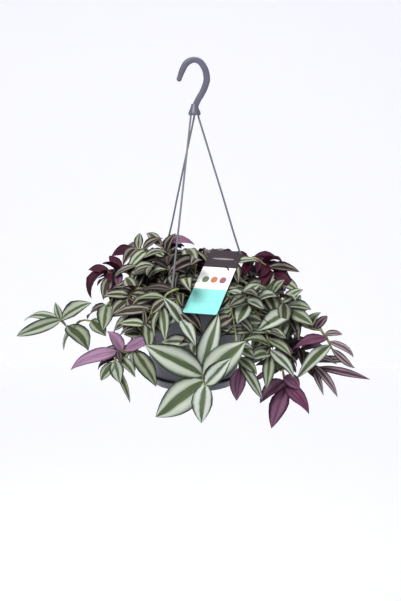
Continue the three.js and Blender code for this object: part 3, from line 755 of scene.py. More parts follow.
@dataclass
class Hanger:
    """The moulded hook and the three thin strands that clip under the rim."""

    finish: bpy.types.Material
    thread: bpy.types.Material
    radius: float = 5.0
    skirt: float = 9.2
    skirt_top: float = -60.0
    bottom: float = -74.5
    strand: float = 1.4
    socket: float = 5.0
    neck: float = 6.0
    clip_width: float = 8.0
    clip_reach: float = 85.5
    rim: float = 90.0
    lip: float = 6.0
    gap: float = 0.3
    # the hook's line across and up, and its radius at each share of that line
    line: tuple[tuple[float, float], ...] = (
        (-22.3, -22.5), (-17.8, -10.3), (-11.4, 0.4), (-1, 5.1), (8.5, 1.6), (15.3, -8.7),
        (17.9, -21.5), (15.9, -31.5), (11.2, -42.5), (5.2, -52.5), (1.6, -61), (-0.2, -71),
    )
    girth: tuple[tuple[float, float], ...] = (
        (0.0, 3.9), (0.1, 4.9), (0.2, 5.2), (0.3, 4.7), (0.42, 5.0), (0.6, 5.3), (0.8, 5.0), (1.0, 4.9),
    )
    strands: tuple[StrandPlace, ...] = (
        StrandPlace("hanger_strand_front", (-5.6, -2.6), -21.5, (0, 1)),
        StrandPlace("hanger_strand_back", (-0.4, 5.4), -141.5, (3, -3)),
        StrandPlace("hanger_strand_right", (5.8, -1.2), 100, (-5.8, 0), 0.81),
    )

    def build_hook(self) -> None:
        """Builds the hook: a ribbed rod with a ball end, a flared skirt and three sockets under it."""
        bm = bmesh.new()
        path = Line(tuple(Vector((x, 0, z)) for x, z in self.line)).spaced(72)
        radii = []
        for i in range(len(path)):
            share = i / (len(path) - 1)
            after = next(k for k, stop in enumerate(self.girth) if k and share <= stop[0])
            (start, thin), (end, thick) = self.girth[after - 1 : after + 1]
            radii.append(thin + (thick - thin) * (share - start) / (end - start))
        sweep(bm, path, radii, 32, ribs=0.1)
        ball = Matrix.Translation(path[0])
        bmesh.ops.create_icosphere(bm, subdivisions=3, radius=radii[0], matrix=ball)
        bottom, edge = self.bottom, self.skirt
        profile = [
            (0, bottom + 0.6),
            (edge - 2.6, bottom + 0.6),
            (edge - 2.2, bottom),
            (edge - 1.2, bottom),
            (edge - 0.3, bottom + 0.6),
            (edge, bottom + 1.8),
            (edge - 0.8, bottom + 4.5),
            (self.radius + 1.1, bottom + 10),
            (self.radius, self.skirt_top),
            (self.radius - 0.8, self.skirt_top + 1.5),
            (0, self.skirt_top + 1.5),
        ]
        skirt = bmesh.new()
        turned(skirt, profile, 48)
        self.join(bm, skirt)
        inner, outer = self.strand + self.gap, self.strand + self.gap + 0.9
        rise = bottom + self.socket
        rim = [(0, rise), (inner, rise), (inner, bottom), (outer - 0.3, bottom), (outer, bottom + 0.3)]
        for place in self.strands:
            mouth = bmesh.new()
            turned(mouth, [*rim, (outer, rise + 1), (0, rise + 1)], 20)
            bmesh.ops.translate(mouth, vec=(*place.mouth, 0), verts=mouth.verts[:])
            self.join(bm, mouth)
        finish_piece("hook_moulding", bm, [self.finish], ["hanger_hook"])

    @staticmethod
    def join(bm: bmesh.types.BMesh, other: bmesh.types.BMesh) -> None:
        """Adds one mesh to another and frees it.

        Args:
            bm: the mesh that grows.
            other: the mesh that is added.
        """
        mesh = mesh_of("joined", other)
        bm.from_mesh(mesh)
        bpy.data.meshes.remove(mesh)

    def strand_line(self, place: StrandPlace) -> Line:
        """Draws the line of a strand from under the hook to its clip.

        Args:
            place: where the strand is.

        Returns:
            The line.
        """
        mouth = Vector((*place.mouth, self.bottom - self.neck / 2))
        end = RIM.in_pot(math.radians(place.azimuth), self.rim + self.gap + 1.5, 5)
        bow = Vector((*place.bow, 0))
        points = []
        for share in (0, 0.14, 0.45, place.bent, 1):
            pull = share / place.bent if share < place.bent else (1 - share) / (1 - place.bent)
            points.append(mouth.lerp(end, share) + bow * pull)
        return Line(tuple(points))

    def add_clip(self, bm: bmesh.types.BMesh, azimuth: float) -> None:
        """Adds the clip that stands outside the rim and reaches under its lip.

        Args:
            bm: the mesh to draw in.
            azimuth: the clip's azimuth, in radians.
        """
        outside = self.rim + self.gap
        under = -self.lip - self.gap
        inside, foot = self.clip_reach, under - 2.6
        edge = outside + 3
        outline = ((outside, 7), (edge, 7), (edge, foot), (inside, foot), (inside, under), (outside, under))
        turn = Matrix.Rotation(azimuth - math.pi / 2, 4, "Z")
        at = Matrix.Translation(RIM.centre) @ turn
        verts = [bm.verts.new(at @ Vector((x, -self.clip_width / 2, z))) for x, z in outline]
        extrude(bm, [bm.faces.new(verts)], turn @ Vector((0, self.clip_width, 0)))

    def build_strand(self, place: StrandPlace) -> None:
        """Builds a strand: its pin in the hook, its thin rod, the flat above the clip, and the clip.

        Args:
            place: where the strand is.
        """
        clip = bmesh.new()
        self.add_clip(clip, math.radians(place.azimuth))
        soften(clip, 0.6)
        path = self.strand_line(place).spaced(48)
        pin = Vector((*place.mouth, self.bottom + self.socket))
        points = [pin, pin - UP * self.socket * 0.5, pin - UP * self.socket, *path]
        flare = [1.0 + 0.55 * max(0.0, (i - len(points) + 7) / 6) for i in range(len(points))]
        sweep(clip, points, [self.strand * share for share in flare], 12)
        finish_piece(place.name.replace("hanger_", "") + "_rod", clip, [self.thread], [place.name])

    def build(self) -> None:
        """Builds the hook and its strands."""
        self.build_hook()
        for place in self.strands:
            self.build_strand(place)


# ---------------------------------------------------------------- pot, saucer and soil
@dataclass
class Container:
    """The tapered pot, its clip-on saucer and the soil in it."""

    plastic: bpy.types.Material
    soil: bpy.types.Material
    bark: bpy.types.Material
    rim: float = 90.0
    lip: float = 4.0
    lip_height: float = 6.0
    wall: float = 1.6
    base: float = 62.0
    height: float = 136.0
    floor: float = 2.0
    drain_circle: float = 42.0
    drain: float = 4.0
    drains: int = 6
    saucer: float = 67.0
    saucer_height: float = 13.0
    soil_below: float = 16.0
    soil_depth: float = 112.0
    crumbs: int = 260
    crumb_seed: int = 4021

    def wall_radius(self, height: float) -> float:
        """Returns the pot wall's outer radius at a height from the rim."""
        under_lip = self.rim - self.lip + self.wall
        return under_lip + (self.base - under_lip) * -height / self.height

    def finish(self, name: str, bm: bmesh.types.BMesh, finish: bpy.types.Material, node: str) -> None:
        """Finishes a mesh drawn about the middle of the rim, for a whole solid.

        Args:
            name: the piece's name.
            bm: its mesh.
            finish: its finish.
            node: the solid that it stands for.
        """
        bmesh.ops.translate(bm, vec=RIM.centre, verts=bm.verts[:])
        slot, crease = ("soil", 40.0) if node == "soil" else ("pot", 50.0)
        finish_piece(name, bm, [finish], [node], crease)

    def add_floor(
        self, bm: bmesh.types.BMesh, radius: float, height: float
    ) -> list[list[bmesh.types.BMEdge]]:
        """Adds a flat floor with round drain holes.

        Args:
            bm: the mesh to add to.
            radius: the floor's radius.
            height: its height from the rim.

        Returns:
            The edges of each hole.
        """
        circles = [(Vector((0, 0, height)), 96, radius)]
        for i in range(self.drains):
            turn = i * math.tau / self.drains
            at = Vector((self.drain_circle * math.cos(turn), self.drain_circle * math.sin(turn), height))
            circles.append((at, 20, self.drain))
        edges = []
        for at, sides, size in circles:
            place = Matrix.Translation(at)
            ring = bmesh.ops.create_circle(bm, segments=sides, radius=size, matrix=place)["verts"]
            edges.append(edges_of(ring))
        bmesh.ops.triangle_fill(bm, use_beauty=True, edges=[edge for ring in edges for edge in ring])
        return edges[1:]

    def build_pot(self) -> None:
        """Builds the pot with its rolled rim, a step under it, and its drained floor."""
        bottom = -self.height
        inner = self.wall_radius(bottom + self.floor) - self.wall
        step = -34.0
        profile = [
            (self.base, bottom),
            (self.base + 0.3, bottom + 1.2),
            (self.wall_radius(step) - 0.1, step),
            (self.wall_radius(step) + 0.5, step + 1.2),
            (self.wall_radius(-self.lip_height - 1), -self.lip_height - 1),
            (self.wall_radius(-self.lip_height), -self.lip_height),
            (self.rim - 0.6, -self.lip_height),
            (self.rim, -self.lip_height + 0.8),
            (self.rim, -1.4),
            (self.rim - 0.5, -0.4),
            (self.rim - 1.4, 0),
            (self.rim - self.lip + 0.6, 0),
            (self.rim - self.lip, -0.8),
            (inner, bottom + self.floor),
        ]
        bm = bmesh.new()
        turned(bm, profile)
        under = self.add_floor(bm, self.base, bottom)
        over = self.add_floor(bm, inner, bottom + self.floor)
        for low, high in zip(under, over):
            bmesh.ops.bridge_loops(bm, edges=low + high)
        bmesh.ops.remove_doubles(bm, verts=bm.verts[:], dist=0.01)
        self.finish("pot_moulding", bm, self.plastic, "pot")

    def build_saucer(self) -> None:
        """Builds the saucer with its rounded lip and the raised seat that the pot stands on."""
        seat = -self.height - 0.3
        under = seat - 6.3
        top = under + self.saucer_height
        foot = self.saucer - 5
        profile = [
            (0, under),
            (foot - 2, under),
            (foot - 0.6, under + 0.5),
            (foot, under + 1.5),
            (self.saucer - 0.6, top - 3),
            (self.saucer, top - 2),
            (self.saucer, top - 0.5),
            (self.saucer - 0.5, top),
            (self.saucer - 1.1, top),
            (self.saucer - 1.6, top - 0.5),
            (foot - 1.6, under + 2.2),
            (foot - 2.2, under + 1.8),
            (foot - 16, under + 1.8),
            (foot - 17.6, seat - 0.4),
            (foot - 18.2, seat),
            (0, seat),
        ]
        bm = bmesh.new()
        turned(bm, profile)
        self.finish("saucer_moulding", bm, self.plastic, "drip_saucer")

    def soil_height(self, x: float, y: float) -> float:
        """Returns the uneven height of the soil's top at a place, from the rim."""
        rough = noise.noise(Vector((x, y, 0)) * 0.09) + 0.5 * noise.noise(Vector((x, y, 9)) * 0.3)
        return -self.soil_below - 0.8 + 1.2 * rough

    def build_soil(self) -> None:
        """Builds the soil, with an uneven top, and the bark and crumbs that lie on it."""
        top, bottom = -self.soil_below, -self.soil_below - self.soil_depth
        reach = [(self.wall_radius(height) - self.wall) * 0.993 - 0.3 for height in (bottom, top)]
        rings = [(reach[1] * i / 24, top) for i in range(23, -1, -1)]
        bm = bmesh.new()
        turned(bm, [(0, bottom), (reach[0], bottom), (reach[1], top - 1.2), *rings], 72)
        for vert in bm.verts:
            if vert.co.z > top - 1:
                vert.co.z = self.soil_height(vert.co.x, vert.co.y)
        self.finish("soil_fill", bm, self.soil, "soil")
        draw = Draws(self.crumb_seed)
        crumbs = bmesh.new()
        for _ in range(self.crumbs):
            radius, azimuth = (reach[1] - 4) * math.sqrt(draw()), math.tau * draw()
            x, y = radius * math.cos(azimuth), radius * math.sin(azimuth)
            size = 0.7 + 1.5 * draw() ** 2
            at = Vector((x, y, self.soil_height(x, y) + 0.2 * size)) + RIM.centre
            turn = Quaternion(Vector((draw() - 0.5, draw() - 0.5, draw() - 0.5)).normalized(), 6 * draw())
            shape = Matrix.Diagonal((size, size * 0.7, size * 0.45, 1))
            place = Matrix.Translation(at) @ turn.to_matrix().to_4x4() @ shape
            bmesh.ops.create_icosphere(crumbs, subdivisions=1, radius=1.0, matrix=place)
        finish_piece("soil_crumbs", crumbs, [self.bark], crease=60)

    def build(self) -> None:
        """Builds the pot, the saucer and the soil."""
        self.build_pot()
        self.build_saucer()
        self.build_soil()


# ---------------------------------------------------------------- care label
@dataclass
class CareLabel:
    """The printed card that hangs on the right strand by a punched hole."""

    finish: bpy.types.Material
    width: float = 50.0
    length: float = 164.0
    thickness: float = 0.8
    corner: float = 3.0
    hole: float = 2.2
    inset: tuple[float, float] = (3.4, 4.2)
    hang: tuple[float, float, float] = (68.7, 53.5, -2)
    down: tuple[float, float, float] = (-42, -92, 129)
    right: tuple[float, float, float] = (47.7, -4.2, 14.4)

    def axes(self) -> tuple[Vector, Vector, Vector]:
        """Finds how the card hangs.

        Returns:
            Its own right, up and face directions.
        """

        def turned_way(way: tuple[float, float, float]) -> Vector:
            """Returns a direction given across, up and near."""
            return (Vector((way[0], 0, 0)) + RIM.sight_up * way[1] + RIM.sight_near * way[2]).normalized()

        up = -turned_way(self.down)
        face = turned_way(self.right).cross(up).normalized()
        return up.cross(face), up, face

    def placement(self, way: Optional[Vector] = None) -> Matrix:
        """Finds the card's place.

        Args:
            way: what Z follows, in place of the card's face.

        Returns:
            The placement.
        """
        right, up, face = self.axes()
        columns = Matrix((right, up, way or face)).transposed().to_4x4()
        return Matrix.Translation(RIM.from_front(*self.hang)) @ columns

    def hides(self, point: Vector, depth: float = 94.0, margin: float = 3.0) -> bool:
        """Tells whether a point stands before the card, as seen from the front.

        Args:
            point: the point.
            depth: how far before the card it counts.
            margin: how far beside the card it counts.

        Returns:
            True where it does.
        """
        across, along, near = self.placement(RIM.sight_near).inverted() @ point
        left, bottom = self.inset[0] - self.width - margin, self.inset[1] - self.length - margin
        inside = left < across < self.inset[0] + margin and bottom < along < self.inset[1] + margin
        return inside and -3 < near < depth

    def build(self) -> None:
        """Builds the card."""
        right, top = self.inset
        left, bottom = right - self.width, top - self.length
        bm = bmesh.new()
        outline = []
        corners = [(right, bottom, -90), (right, top, 0), (left, top, 90), (left, bottom, 180)]
        for x, y, start in corners:
            middle = Vector((x - math.copysign(self.corner, x - (left + right) / 2), 0, 0))
            middle.y = y - math.copysign(self.corner, y - (bottom + top) / 2)
            for step in range(7):
                angle = math.radians(start + 15 * step)
                way = Vector((math.cos(angle), math.sin(angle), 0))
                outline.append(bm.verts.new(middle + way * self.corner))
        ring = [bm.edges.new(pair) for pair in zip(outline, outline[1:] + outline[:1])]
        ring += edges_of(bmesh.ops.create_circle(bm, segments=28, radius=self.hole)["verts"])
        bmesh.ops.triangle_fill(bm, use_beauty=True, edges=ring)
        bmesh.ops.translate(bm, vec=UP * (-self.thickness / 2), verts=bm.verts[:])
        extrude(bm, bm.faces[:], UP * self.thickness)
        bmesh.ops.recalc_face_normals(bm, faces=bm.faces[:])
        layer = bm.loops.layers.uv.new("card")
        for face in bm.faces:
            for loop in face.loops:
                x, y, _ = loop.vert.co
                loop[layer].uv = ((x - left) / self.width, (y - bottom) / self.length)
        bmesh.ops.transform(bm, matrix=self.placement(), verts=bm.verts[:])
        finish_piece("label_card", bm, [self.finish], ["care_label"])


# ---------------------------------------------------------------- draws and leaves
class Draws:
    """Seeded draws between 0 and 1, the same ones that the solids were grown by."""

    WORD = 0xFFFFFFFF

    def __init__(self, seed: int) -> None:
        """Starts the draws from a seed."""
        self.state = seed & self.WORD

    def __call__(self) -> float:
        """Makes the next draw.

        Returns:
            A number from 0 up to 1.
        """
        self.state = (self.state + 0x6D2B79F5) & self.WORD
        mixed = (self.state ^ self.state >> 15) * (self.state | 1) & self.WORD
        mixed = (mixed + (mixed ^ mixed >> 7) * (mixed | 61)) & self.WORD ^ mixed
        return (mixed ^ mixed >> 14) / (self.WORD + 1)


@dataclass(frozen=True)
class Tint:
    """How a leaf is coloured: its share of dark shading, fresh green, violet, wine red, mauve and painted
    shade, which darkens a leaf as if it stood in shade inside the mound.

    Its kind is a number of its own, which moves its pattern.
    """

    shade: float = 0.0
    fresh: float = 0.0
    violet: float = 0.0
    wine: float = 0.0
    mauve: float = 0.0
    painted_shade: float = 0.0
    kind: float = 0.0


class Look(Enum):
    """The looks of a shoot, each as its darkest leaf and its palest."""

    # the painted shade in these tints darkens leaves as if they stood in shade inside the mound; the small
    # INNER leaves have the most
    SILVER = (Tint(0.3, 0.1), Tint())
    GREEN = (Tint(0.5, 0.25, painted_shade=0.3), Tint(0.15, 0.15, painted_shade=0.16))
    LEAFY = (Tint(0.8, 0.1, 0.1, painted_shade=0.6), Tint(0.3, 0.15, painted_shade=0.12))
    LIME = (Tint(0.2, 0.9), Tint(0.0, 0.75))
    STRIPED = (Tint(1.0, 0.0, 0.15, painted_shade=0.45), Tint(0.5, 0.2))
    INNER = (Tint(1.0, 0.0, 0.4, painted_shade=0.9), Tint(0.85, 0.1, painted_shade=0.3))
    DUSKY = (Tint(1.0, 0.0, 0.5, mauve=0.1, painted_shade=0.2), Tint(0.8, 0.0, 0.1, mauve=0.3))
    PURPLE = (Tint(0.8, 0.0, 1.0, 0.25), Tint(0.4, 0.0, 0.9, mauve=0.3))
    MAUVE = (Tint(0.5, 0.0, 0.6, mauve=0.92), Tint(0.2, 0.0, 0.45, mauve=1.0))
    WINE = (Tint(1.0, 0.0, 0.9, 1.0), Tint(0.8, 0.0, 0.85, 0.92))

    def tint(self, draw: Draws) -> Tint:
        """Mixes the tint of one leaf.

        Args:
            draw: the draws to take.

        Returns:
            The tint.
        """
        dark, pale = self.value
        share = draw()
        mixed = [getattr(dark, name) * (1 - share) + getattr(pale, name) * share for name in TINTS[:-1]]
        return Tint(*mixed, kind=draw())


@dataclass(frozen=True)
class Blade:
    """A leaf's blade along a bent midrib."""

    base: Vector
    ahead: Vector
    face: Vector
    length: float
    width: float
    bend: float
    fold: float = 0.22
    thickness: float = 0.9
    shank: float = 0.85
    twist: float = 0.0
    curl: float = 0.0

    def at(self, share: float) -> tuple[Vector, Vector]:
        """Finds a point of the midrib.

        Args:
            share: its share of the length.

        Returns:
            The point and the way that the blade faces there.
        """
        turn = self.bend * share
        radius = self.length / self.bend
        ahead, down = radius * math.sin(turn), radius * (1 - math.cos(turn))
        point = self.base + self.ahead * ahead - self.face * down
        return point, self.face * math.cos(turn) + self.ahead * math.sin(turn)

    def half_width(self, share: float) -> float:
        """Finds half the blade's width.

        Args:
            share: the share of the length.

        Returns:
            Half the width there.
        """
        ovate = max(0.0, math.sin(math.pi * share**0.8)) ** 0.9
        least = self.shank + (0.25 - self.shank) * share
        return max(self.width / 2 * ovate, least)

    def surface(self, along: float, across: float, level: float, wave: float) -> Vector:
        """Returns a point of the blade.

        Args:
            along: the share of its length.
            across: from -1 at one margin to 1 at the other.
            level: 1 on its upper side and -1 on its lower one.
            wave: where its wavy margin starts, in radians.

        Returns:
            The point.
        """
        point, flat = self.at(along)
        level_side = self.ahead.cross(self.face)
        turn = self.twist * along * along
        side = level_side * math.cos(turn) + flat * math.sin(turn)
        normal = flat * math.cos(turn) - level_side * math.sin(turn)
        half = self.half_width(along)
        valley = 1.12 * (math.sqrt(across * across + 0.03) - 0.173)
        ripple = math.sin(9 * along + wave + 1.3 * across) * math.sin(math.pi * along)
        hook = self.curl * self.length * max(along - 0.55, 0.0) ** 2
        up = half * math.sin(self.fold) * valley + 0.1 * half * across * across * ripple - hook
        thick = self.thickness * (1 - 0.45 * across * across) / 2
        return point + side * (half * across * math.cos(self.fold)) + normal * (up + level * thick)

    @property
    def tip(self) -> Vector:
        """Returns the tip of the midrib."""
        return self.at(1.0)[0]


@dataclass(frozen=True)
class LeafSheet:
    """A closed thin sheet of a set number of faces, to be bent into leaves."""

    along: int
    across: int

    def mesh(self) -> bpy.types.Mesh:
        """Draws the sheet, flat.

        Returns:
            The sheet, with its place on the leaf in X and Y and its side, 1 or -1, in Z.
        """
        bm = bmesh.new()
        bmesh.ops.create_grid(bm, x_segments=self.along, y_segments=self.across, size=1.0)
        bmesh.ops.translate(bm, vec=UP, verts=bm.verts[:])
        extrude(bm, bm.faces[:], UP * -2)
        bmesh.ops.recalc_face_normals(bm, faces=bm.faces[:])
        layer = bm.loops.layers.uv.new("leaf")
        for face in bm.faces:
            face.material_index = 0 if face.normal.z > 0.5 else 1
            for loop in face.loops:
                loop[layer].uv = (0.5 + 0.5 * loop.vert.co.x, 0.5 + 0.5 * loop.vert.co.y)
        return mesh_of("leaf_sheet", bm)


@dataclass(frozen=True)
class Root:
    """A place where a stem may stand in the soil."""

    azimuth: float
    radius: float


@dataclass(frozen=True)
class Shoot:
    """A placed shoot.

    It crosses the rim at an azimuth in degrees, and follows a route of points across, up and near. Each
    of its blades has its place on that route, its tip across, up and near, its width, its bend in
    radians and its roll in degrees.
    """

    name: str
    look: Look
    crest: Optional[float]
    route: tuple[tuple[float, float, float], ...]
    blades: tuple[tuple[float, ...], ...]

    def look_of(self, place: int) -> Look:
        """Returns the look of one of its blades."""
        return ODD_LEAVES.get(self.name, {}).get(place, self.look)


SHOOTS = (
    Shoot(
        "front_star", Look.SILVER, -16,
        ((-24, -32, 102), (-14, -66, 108), (2, -104, 114), (12, -131, 126), (17, -144, 152)),
        (
            (3, -75, -84, 134, 47, 0.5, -22), (3.2, 77, -78, 134, 44, 0.5, 28),
            (2.8, 38, -36, 122, 33, 0.4, 0), (3.45, -59, -195, 146, 45, 0.6, -20),
            (3.9, 54, -104, 170, 30, 0.4, 30), (3.97, 10, -202, 160, 32, 0.7, 15),
            (1.4, -50, -80, 128, 24, 0.5, -10), (0.4, 2, -84, 132, 22, 0.5, 0),
            (0.2, -68, -66, 118, 23, 0.5, 0), (1.8, 6, -80, 122, 25, 0.6, 0),
            (0.6, -46, -12, 118, 20, 0.5, 0),
        ),
    ),
    Shoot(
        "left_pale", Look.GREEN, -75,
        ((-126, -18, 34), (-148, -46, 40), (-168, -47, 44), (-188, -58, 46), (-202, -45, 50)),
        (
            (3.9, -269, -71, 52, 24, 0.9, -35), (3.7, -257, -44, 30, 18, 1.1, 5),
            (4, -209, -20, 54, 13, 0.3, 0), (3.9, -155, -20, 68, 29, 0.5, 0),
            (3.2, -158, -92, 66, 37, 0.7, -10), (2.4, -200, -90, 52, 16, 0.4, 40),
            (1.3, -133, -70, 62, 24, 0.5, 0), (0.6, -97, -36, 52, 22, 0.6, 20),
            (0.2, -138, -60, 62, 27, 0.5, 0),
        ),
    ),
    Shoot(
        "left_dark", Look.WINE, -98, ((-106, 28, -8), (-119, 18, 0), (-130, 26, 6)),
        (
            (2, -155, -14, 14, 31, 1.6, 45), (1.7, -160, 30, -6, 18, 0.9, 0),
            (1.4, -137, -16, 18, 20, 0.6, 10), (0.6, -115, 0, 20, 18, 0.6, 0),
            (0.3, -128, 50, -24, 18, 0.7, 0), (1.1, -122, -32, 26, 21, 0.6, 0),
        ),
    ),
    Shoot(
        "mauve_left", Look.MAUVE, -50,
        ((-88, -48, 88), (-98, -92, 98), (-114, -94, 104), (-121, -112, 108)),
        (
            (2, -190, -117, 108, 24, 0.6, -10), (1.7, -130, -62, 102, 24, 0.4, 0),
            (1.4, -52, -73, 118, 22, 0.4, 40), (2.7, -112, -142, 112, 22, 0.5, 10),
            (2.4, -88, -131, 120, 19, 0.4, -15), (3, -91, -172, 118, 13, 0.3, 20),
            (2.9, -142, -138, 104, 18, 0.5, 0), (0.8, -112, -112, 92, 18, 0.5, 0),
        ),
    ),
    Shoot(
        "front_left", Look.STRIPED, -34, ((-60, -22, 98), (-66, -40, 106), (-74, -54, 116)),
        (
            (2, -113, -52, 110, 17, 0.6, 0), (1.7, -112, -70, 116, 16, 0.5, 20),
            (0.6, -122, -38, 96, 20, 0.7, 0), (1.4, -68, -92, 122, 20, 0.6, 0),
            (0.8, -40, -14, 112, 18, 0.5, 0), (2, -76, -28, 124, 10, 0.3, 0),
        ),
    ),
    Shoot(
        "low_left", Look.GREEN, -42, ((-78, -60, 98), (-90, -92, 108)),
        (
            (1, -56, -146, 122, 27, 0.6, 10), (0.7, -98, -128, 120, 20, 0.5, -20),
            (0.3, -104, -70, 114, 20, 0.6, 0), (0, -58, -90, 112, 20, 0.6, 0),
        ),
    ),
    Shoot(
        "right_top", Look.WINE, 118, ((84, 46, -6), (104, 38, 0), (122, 16, 8)),
        (
            (1.3, 158, 26, 6, 20, 0.6, 0), (1.7, 148, 2, 26, 23, 0.9, 0), (0.2, 118, 32, -4, 22, 0.9, 0),
            (2, 157, -4, 32, 22, 0.5, 0), (1, 142, 22, -2, 20, 0.7, 0), (0.3, 68, 14, 24, 18, 0.6, 0),
            (1.5, 108, -12, 34, 22, 0.6, 10),
        ),
    ),
    Shoot(
        "right_ring", Look.GREEN, 67, ((112, -2, 36), (130, -16, 44), (144, -36, 50)),
        (
            (1.2, 162, 0, 62, 20, 0.5, 0), (1.5, 176, -30, 52, 21, 0.7, 0),
            (1.8, 178, -54, 60, 22, 0.6, 20), (2, 94, -62, 84, 32, 0.6, 0), (0.6, 90, -18, 74, 24, 0.6, 0),
            (0.3, 134, 14, 50, 18, 0.5, 0), (1.9, 122, -96, 78, 18, 0.6, 0),
        ),
    ),
    Shoot(
        "right_mid", Look.GREEN, 50, ((92, -34, 70), (108, -66, 80), (114, -98, 90)),
        (
            (1, 46, -69, 112, 22, 0.5, 10), (1.6, 74, -76, 112, 22, 0.6, 0), (2, 82, -104, 110, 20, 0.6, 0),
            (1.8, 152, -132, 100, 22, 0.7, 0), (1.3, 146, -100, 98, 22, 0.7, 0),
            (2, 108, -150, 108, 20, 0.5, 0), (0.5, 52, -44, 96, 24, 0.6, 0),
            (0.8, 138, -74, 84, 18, 0.6, 0),
        ),
    ),
    Shoot(
        "right_pale", Look.GREEN, 81,
        ((132, -30, 18), (164, -56, 26), (192, -64, 30), (206, -90, 34)),
        (
            (2.4, 146, -88, 58, 22, 0.7, 0), (2.2, 222, -68, 34, 13, 0.8, 0),
            (2.8, 154, -134, 62, 22, 0.8, 0), (3, 240, -121, 38, 12, 0.5, 30),
            (2.6, 242, -102, 40, 12, 1.3, 10), (1.3, 188, -34, 40, 20, 0.6, 0),
            (0.9, 138, -76, 56, 20, 0.6, 20), (0.3, 160, -8, 20, 20, 0.6, 0),
            (1.6, 200, -40, 20, 15, 0.8, 0), (1.9, 152, -62, 44, 18, 0.6, 0),
        ),
    ),
    Shoot(
        "right_far", Look.DUSKY, 93, ((130, -52, 4), (162, -96, 14), (182, -118, 20)),
        (
            (2, 264, -136, 24, 13, 0.7, 20), (1.8, 216, -162, 40, 14, 0.8, 0),
            (1.5, 198, -156, 30, 13, 0.7, -20), (1.2, 216, -112, 14, 13, 0.9, 0),
            (0.9, 128, -124, 24, 20, 0.6, 0), (1.6, 234, -110, -6, 14, 0.7, 0),
            (0.3, 168, -40, 2, 20, 0.7, 0), (0.7, 150, -102, 12, 16, 0.6, 0),
            (0.9, 192, -82, 2, 15, 0.8, 0),
        ),
    ),
    Shoot(
        "right_hang", Look.PURPLE, 59, ((112, -62, 50), (130, -112, 62), (137, -150, 72)),
        (
            (2, 115, -209, 84, 29, 0.6, 0), (1.85, 174, -186, 84, 25, 0.6, 0),
            (1.7, 97, -170, 88, 29, 0.6, 0), (1.2, 84, -140, 98, 14, 0.4, 0),
            (1.5, 158, -150, 76, 24, 0.6, 0), (1.1, 92, -112, 92, 20, 0.6, 0),
            (0.6, 148, -96, 66, 22, 0.7, 0), (0.9, 122, -122, 78, 16, 0.6, 0),
            (1.6, 128, -190, 60, 20, 0.6, 0),
        ),
    ),
    Shoot(
        "low_right", Look.GREEN, 33, ((60, -58, 102), (68, -118, 112)),
        (
            (0.9, 102, -166, 114, 20, 0.5, 0), (1, 62, -168, 118, 24, 0.5, 0),
            (0.5, 92, -104, 110, 20, 0.6, 0), (0.75, 94, -128, 114, 18, 0.6, 0),
            (0.1, 34, -60, 112, 20, 0.6, 0), (0.45, 86, -88, 106, 17, 0.5, 0),
            (0.6, 38, -104, 118, 18, 0.5, 0),
        ),
    ),
    Shoot(
        "left_rim", Look.STRIPED, -61, ((-90, -2, 50), (-102, -18, 58)),
        (
            (1, -124, -38, 66, 21, 0.6, 0), (0.8, -78, -46, 86, 22, 0.6, 0),
            (0.4, -62, -20, 90, 20, 0.6, 10), (0.6, -136, -10, 44, 20, 0.7, 0),
            (0.1, -104, 18, 30, 20, 0.6, 0),
        ),
    ),
    Shoot(
        "right_rim", Look.GREEN, 42, ((74, -8, 82), (80, -24, 92)),
        (
            (0.2, 42, -1, 98, 19, 0.9, 0), (1, 64, -52, 108, 27, 0.5, 0), (0.6, 104, -30, 90, 22, 0.6, 0),
            (0.8, 48, -28, 110, 20, 0.6, 0), (0, 100, 8, 66, 20, 0.6, 0),
        ),
    ),
    Shoot(
        "front_rim", Look.GREEN, -27, ((-42, -8, 98), (-48, -26, 108)),
        (
            (1, -66, -70, 138, 24, 0.5, 0), (0.7, -24, -36, 130, 20, 0.5, 0),
            (1, -44, -78, 142, 17, 0.4, 0), (0.4, -84, -20, 108, 21, 0.6, 0),
        ),
    ),
    Shoot(
        "top_left", Look.STRIPED, None, ((-56, 44, -34), (-74, 58, -40), (-92, 60, -42)),
        (
            (2, -124, 50, -44, 20, 0.7, -10), (1.6, -82, 84, -50, 16, 0.4, 0),
            (1.2, -48, 78, -34, 18, 0.6, 0), (1.8, -108, 38, -12, 20, 0.7, 0),
            (0.6, -42, 46, -8, 20, 0.7, 0), (0.9, -100, 30, 0, 20, 0.7, 0),
        ),
    ),
    Shoot(
        "top_arch", Look.STRIPED, None, ((-34, 40, -20), (-44, 56, -28), (-52, 66, -34)),
        (
            (2, 2, 70, -20, 18, 1.2, 0), (1.3, -77, 30, 24, 22, 0.8, 0), (0.5, 5, 36, 6, 20, 0.7, 0),
            (1.6, -74, 86, -60, 16, 0.7, 0), (0.9, -30, 84, -10, 18, 0.7, 0),
        ),
    ),
)

# The blades that don't look like the rest of their shoot, by their place in its list.
ODD_LEAVES: dict[str, dict[int, Look]] = {
    "left_dark": {2: Look.STRIPED, 3: Look.PURPLE, 5: Look.PURPLE},
    "mauve_left": {**dict.fromkeys((3, 4, 5, 6), Look.GREEN), 7: Look.STRIPED},
    "front_left": {3: Look.GREEN},
    "right_top": {0: Look.STRIPED, 3: Look.STRIPED, 6: Look.STRIPED},
    "right_hang": {3: Look.MAUVE, 5: Look.LIME, 7: Look.LIME},
    "right_ring": {3: Look.SILVER, 4: Look.SILVER},
    "right_mid": {3: Look.SILVER},
    "right_pale": {0: Look.PURPLE, 2: Look.SILVER, **dict.fromkeys((1, 3, 4, 8), Look.DUSKY)},
    "low_right": {1: Look.PURPLE},
    "top_arch": {0: Look.PURPLE},
    "top_left": {0: Look.WINE},
}


@dataclass
class Stem:
    """A stem that has been found among the solids."""

    name: str
    index: int
    look: Look = Look.STRIPED
    placed: Optional[Shoot] = None
    route: list[Vector] = field(default_factory=list)
    spine: list[Vector] = field(default_factory=list)
    leaves: list[tuple[Blade, Look]] = field(default_factory=list)


